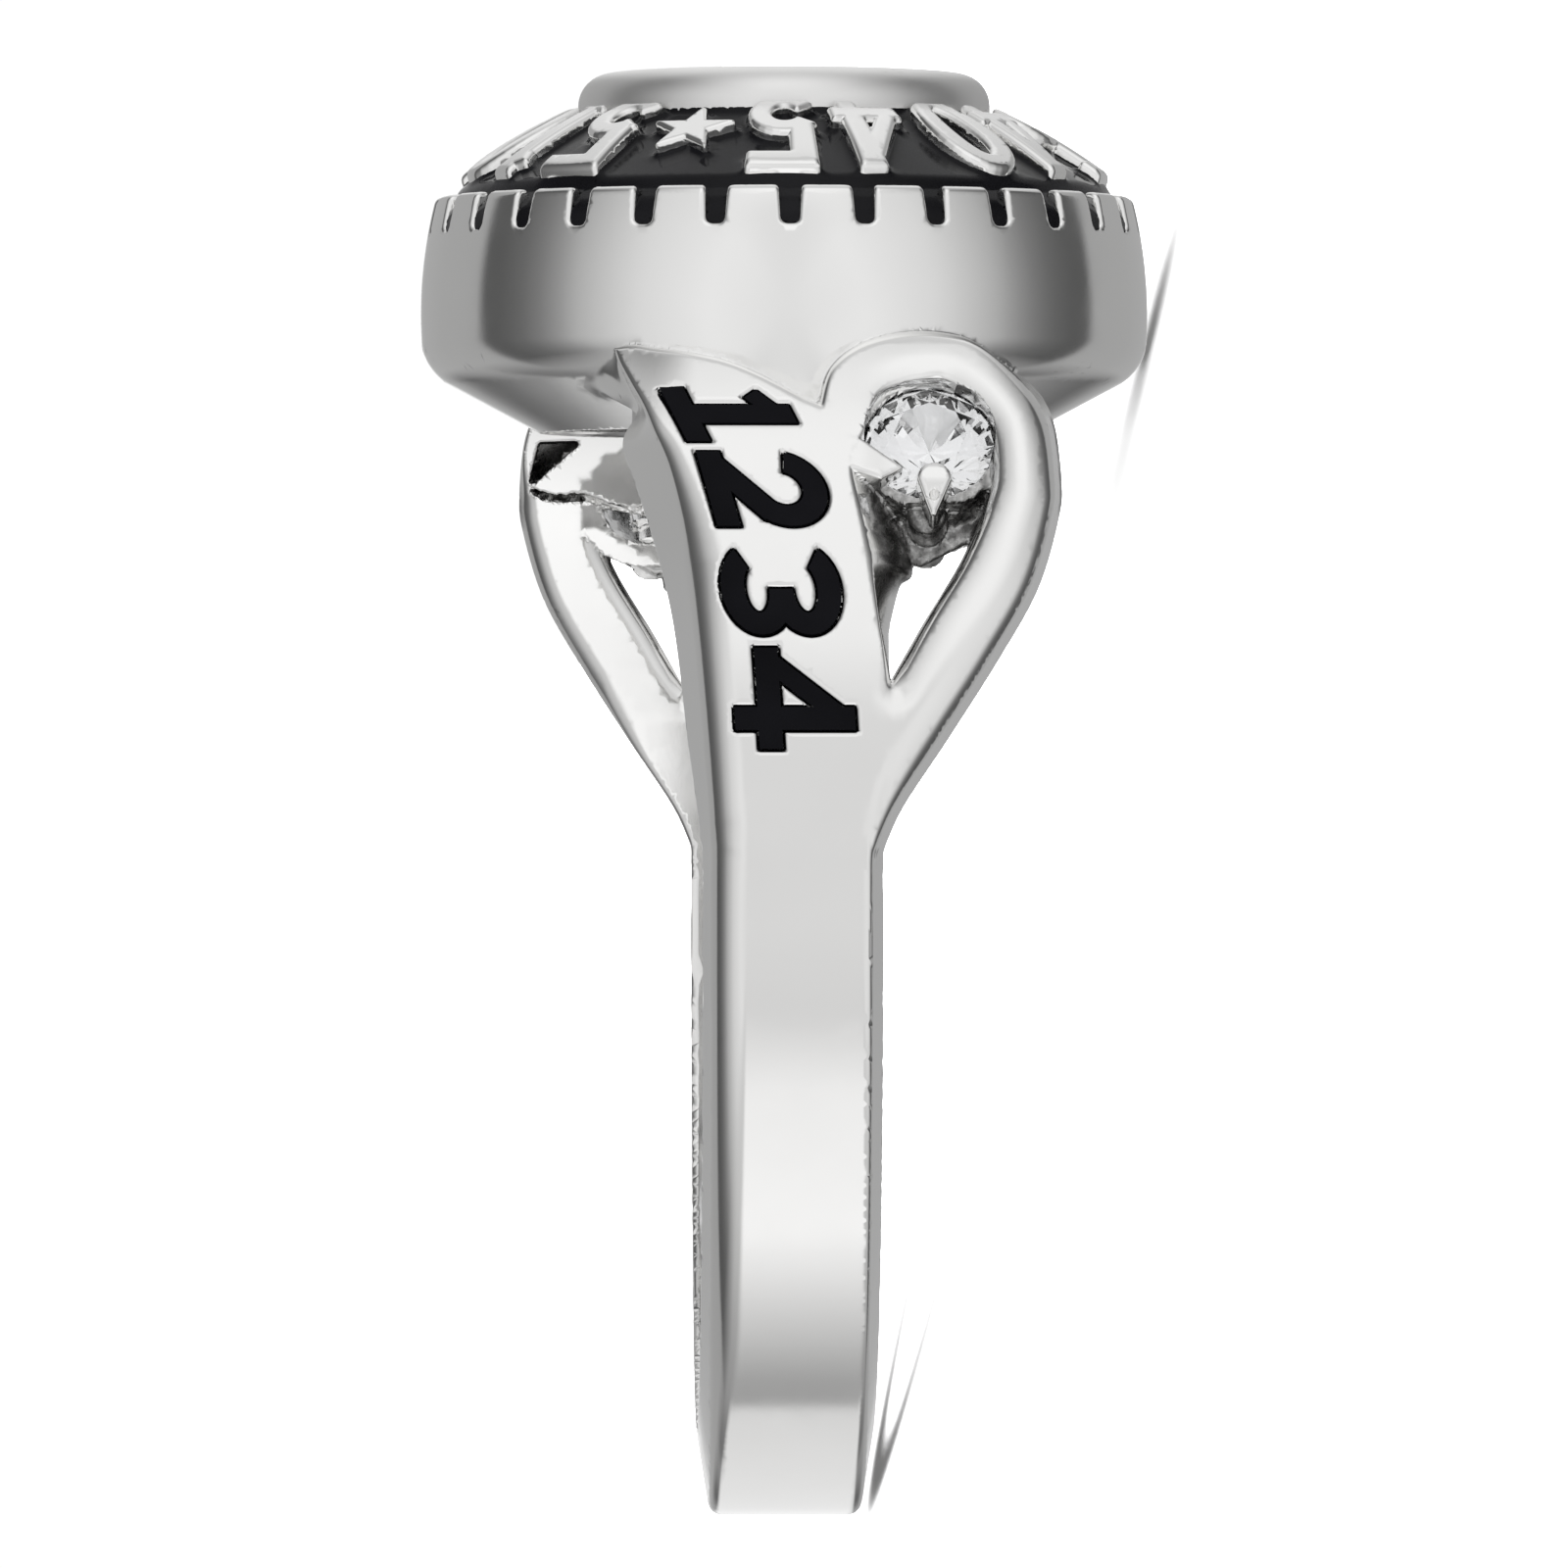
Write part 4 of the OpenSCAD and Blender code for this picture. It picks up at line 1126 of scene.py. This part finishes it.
def stone_material():
    m, nt, b, at = material("clear_stone")
    b.inputs["IOR"].default_value = 1.9
    b.inputs["Transmission Weight"].default_value = 1.0
    tone = mix(nt, noise(nt, at, 300, 2, 0.5), (0.97, 0.98, 1.0), (1.0, 1.0, 1.0))
    nt.links.new(tone, b.inputs["Base Color"])
    polish = ranged(nt, noise(nt, at, 2000, 2, 0.5), 0.3, 0.7, 0.0, 0.01)
    nt.links.new(polish, b.inputs["Roughness"])
    return m


silver = silver_material()
enamel = enamel_material("black_enamel", 1.24)
digit_enamel = enamel_material("digit_enamel", 1.1)
stone = stone_material()

# ---- the pieces


def region(name, lo, hi, h, keep_lo, keep_hi):
    """One piece of the casting, between planes. None in keep_lo or keep_hi leaves a side open."""
    lo = list(lo)
    for a in range(3):
        if keep_lo[a] is not None and keep_hi[a] is not None:
            span = keep_hi[a] - keep_lo[a]
            h = span / round(span / h)
    # each cut falls on the middle of a cell
    for a in range(3):
        value = keep_hi[a] if keep_lo[a] is None else keep_lo[a]
        if value is not None:
            lo[a] = value - (math.ceil((value - lo[a]) / h) + 0.5) * h

    def keep(mid, size):
        ok = np.ones(len(mid), bool)
        for a in range(3):
            if keep_lo[a] is not None:
                ok &= mid[:, a] + size / 2 > keep_lo[a] - 0.1 * h
            if keep_hi[a] is not None:
                ok &= mid[:, a] - size / 2 < keep_hi[a] + 0.1 * h
        return ok

    cuts = [(a, v) for limits in (keep_lo, keep_hi) for a, v in enumerate(limits) if v is not None]
    v, tri, n = surface(casting, lo, hi, h, keep, cuts)
    put(name, v, tri, n, silver, ["ring_body"])


FINE = 0.045
MIDDLE = 0.048
WIDE_H = 0.1
# Half the box across the head, and the heights between head and shoulders and over the band
W, CUT_Z, LOW_Z = 6.8, 11.4, 1.2
OPEN, CUT, LOW = (None, None, None), (None, None, CUT_Z), (None, None, LOW_Z)
region("cast_head_near", (-0.5, -W, 11.0), (W, W, 15.6), FINE, (0, None, CUT_Z), OPEN)
region("cast_head_far", (-W, -W, 11.0), (0.5, W, 15.6), FINE, CUT, (0, None, None))
region("cast_shoulder_near", (-0.5, -W, 0.8), (11, W, 11.9), MIDDLE, (0, None, LOW_Z), CUT)
region("cast_shoulder_far", (-11, -W, 0.8), (0.5, W, 11.9), MIDDLE, LOW, (0, None, CUT_Z))
region("cast_band", (-11, -2.2, -10.8), (11, 2.2, 1.6), WIDE_H, OPEN, LOW)


def pour(p):
    """Distance to the enamel poured round the bezel and through the notches."""
    x, y, z = p.T
    r = np.hypot(x, y)
    c, s = math.cos(SLOPE), math.sin(SLOPE)
    edge = np.full(x.shape, 1.0, np.float32)
    for _, near, to_edge, _, _ in each_mark(x, y, z):
        edge[near] = np.minimum(edge[near], to_edge)
    # it climbs a little up each wall
    wall = np.minimum(edge, (r - BEZEL_R) / c)
    climb = 0.08 * np.exp(-np.maximum(wall, 0) / 0.06)
    floor = (r - NUM_R) * s + (z - NUM_Z) * c + RELIEF - climb
    # past the letters it falls steeply to the rim, and on through the notches
    fall = (z - (RIM_Z - 0.03) - 1.7 * (CHANNEL_R - 0.02 - r)) / 1.97
    over = (z - (RIM_Z - 0.05) - 0.8 * (CHANNEL_R - r)) / 1.28
    top = meet(floor, np.minimum(fall, over), 0.05)
    ring = np.maximum(top, np.maximum(BEZEL_R - 0.05 - r, r - CHANNEL_R - 0.03))
    notch = meet(barrel(r, z) + 0.05, over, 0.12)
    notch = np.maximum(np.maximum(notch, notch_distance(x, y, z, 0.02)), CHANNEL_R - 0.1 - r)
    bottom = np.where(r < CONE_END, band_z(r, METAL - 0.02) - z, CHANNEL_Z + 0.02 - z)
    return np.maximum(np.minimum(ring, notch), np.maximum(bottom * 0.85, 12.0 - z))


def near_pour(mid, size):
    """Whether cells can hold some of the pour's surface."""
    r = np.hypot(mid[:, 0], mid[:, 1])
    return (r > 3.4 - size) & (r < 6.4 + size) & (mid[:, 2] + size > band_z(r, METAL + 0.05) - 0.6)


v, tri, n = surface(pour, (-W, -W, 11.5), (W, W, 15.2), FINE * 1.1, near_pour)
put("enamel_pour", v, tri, n, enamel, ["bezel_enamel"])

for name, o in frame["nodes"].items():
    for part, look in (("digit", digit_enamel), ("stone", stone)):
        if part in name:
            o.data.materials.clear()
            o.data.materials.append(look)

# ---- stage, light and camera

# The photograph's frame and focal length in pixels, and the camera over the standing ring, in mm
PHOTO_PX, FOCAL_PX = 1600, 14906
EYE_FAR, EYE_UP = 257, 2.645
PSI = math.radians(1.0)
SENSOR = 36


def unmirrored(o):
    """The metal mirrors the studio alone."""
    o.visible_glossy = False
    o.visible_transmission = False
    return o


def stage_floor():
    m, nt, b, at = material("floor")
    b.inputs["Roughness"].default_value = 0.9
    b.inputs["Specular IOR Level"].default_value = 0.0
    tone = mix(nt, noise(nt, at, 40, 2, 0.5), (0.89, 0.89, 0.89), (0.91, 0.91, 0.91))
    nt.links.new(tone, b.inputs["Base Color"])
    me = bpy.data.meshes.new("floor")
    s = 6.0
    me.from_pydata([(-s, -s, 0), (s, -s, 0), (s, s, 0), (-s, s, 0)], [], [(0, 1, 2, 3)])
    me.materials.append(m)
    o = unmirrored(in_scene("floor", me))


def floor_light():
    """A sun that keeps the floor white."""
    d = bpy.data.lights.new("overhead", "SUN")
    d.energy = 8.0
    d.angle = 2.4
    unmirrored(in_scene("overhead", d))


stage_floor()
floor_light()

camera_data = bpy.data.cameras.new("camera")
camera_data.lens = FOCAL_PX / PHOTO_PX * SENSOR
camera_data.sensor_width = SENSOR
camera_data.sensor_fit = "HORIZONTAL"
camera_data.clip_start = 0.01
camera_data.clip_end = 10
camera = in_scene("camera", camera_data)
right = np.array([math.sin(PSI), math.cos(PSI), 0]) @ AXES
up = np.array([0.0, 0, 1]) @ AXES
back = np.array([math.cos(PSI), -math.sin(PSI), 0]) @ AXES
m = Matrix(np.stack([right, up, back], 1).tolist()).to_4x4()
m.translation = Vector(to_row([EYE_FAR * math.cos(PSI), -EYE_FAR * math.sin(PSI), EYE_UP]))
camera.matrix_world = m
bpy.context.scene.camera = camera

# Light by angle from the camera's direction, in degrees: below the ring's palm side, above its
# head, at its sides, and at its sides near the level of the floor
LOW_STUDIO = [
    (0, 0.76), (15, 0.73), (30, 0.97), (60, 1.04), (75, 0.78), (98, 0.39), (105, 0.37),
    (108, 0.76), (130, 0.82), (160, 0.87), (172, 1.0), (180, 1.05),
]
HIGH_STUDIO = [
    (0, 0.76), (26, 0.74), (36, 0.92), (62, 0.92), (74, 0.8), (90, 0.6), (108, 0.64), (112, 0.8),
    (140, 0.82), (172, 1.0), (180, 1.05),
]
SIDE_STUDIO = [
    (0, 0.76), (25, 0.83), (48, 0.7), (60, 0.55), (70, 0.42), (77, 0.29), (85, 0.19), (93, 0.13),
    (103, 0.095), (111, 0.09), (115, 0.36), (140, 0.37), (165, 0.4), (172, 0.44), (175.5, 1.05),
    (180, 1.05),
]
UNDER_STUDIO = [
    (0, 0.76), (60, 0.6), (97, 0.35), (110, 0.3), (120, 0.2), (128, 0.17), (135, 0.28), (141, 0.24),
    (149, 0.16), (155, 0.12), (160, 0.2), (165, 0.33), (172, 0.44), (175.5, 1.05), (180, 1.05),
]


def studio():
    """Soft light by direction about the ring: bright in front, dark at both sides, pale behind."""
    world = bpy.data.worlds.new("studio")
    bpy.context.scene.world = world
    world.use_nodes = True
    nt = world.node_tree
    bg = nt.nodes["Background"]
    at = nt.nodes.new("ShaderNodeTexCoord").outputs["Generated"]
    x, y, z = (dot(nt, at, a) for a in AXES)
    alpha = calc(nt, "DIVIDE", calc(nt, "ARCCOSINE", x), math.pi)

    def ramp(stops):
        n = nt.nodes.new("ShaderNodeValToRGB")
        els = n.color_ramp.elements
        while len(els) < len(stops):
            els.new(0.5)
        for e, (deg, v) in zip(els, stops):
            e.position = deg / 180
            e.color = (v, v, v, 1)
        nt.links.new(alpha, n.inputs["Fac"])
        return n.outputs["Color"]

    y2, z2 = calc(nt, "MULTIPLY", y, y), calc(nt, "MULTIPLY", z, z)
    around = calc(nt, "ADD", calc(nt, "ADD", y2, z2), 0.002)
    side = calc(nt, "DIVIDE", y2, around)
    rise = calc(nt, "DIVIDE", z, calc(nt, "SQRT", around))
    above = ranged(nt, rise, -0.4, 0.4)
    below = calc(nt, "SUBTRACT", 1.0, above)
    beside = calc(nt, "ADD", calc(nt, "MULTIPLY", above, ranged(nt, side, 0.02, 0.4)),
                  calc(nt, "MULTIPLY", below, ranged(nt, side, 0.03, 0.14)))
    flat = calc(nt, "MULTIPLY", below, ranged(nt, side, 0.6, 0.3))
    middle = mix(nt, above, ramp(LOW_STUDIO), ramp(HIGH_STUDIO))
    light = mix(nt, beside, middle, mix(nt, flat, ramp(SIDE_STUDIO), ramp(UNDER_STUDIO)))
    # what shines through the stones is paler
    depth = nt.nodes.new("ShaderNodeLightPath").outputs["Transmission Depth"]
    through = calc(nt, "MULTIPLY", calc(nt, "GREATER_THAN", depth, 0.5), 0.5)
    nt.links.new(mix(nt, through, light, (1.0, 1.0, 1.0)), bg.inputs["Color"])
    bg.inputs["Strength"].default_value = 1.0


studio()

view = bpy.context.scene.view_settings
view.view_transform = "Standard"
view.look = "None"
view.exposure = 0.0
view.gamma = 1.0

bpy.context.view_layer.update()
print(f"scene made in {time.time() - START:.1f} s")
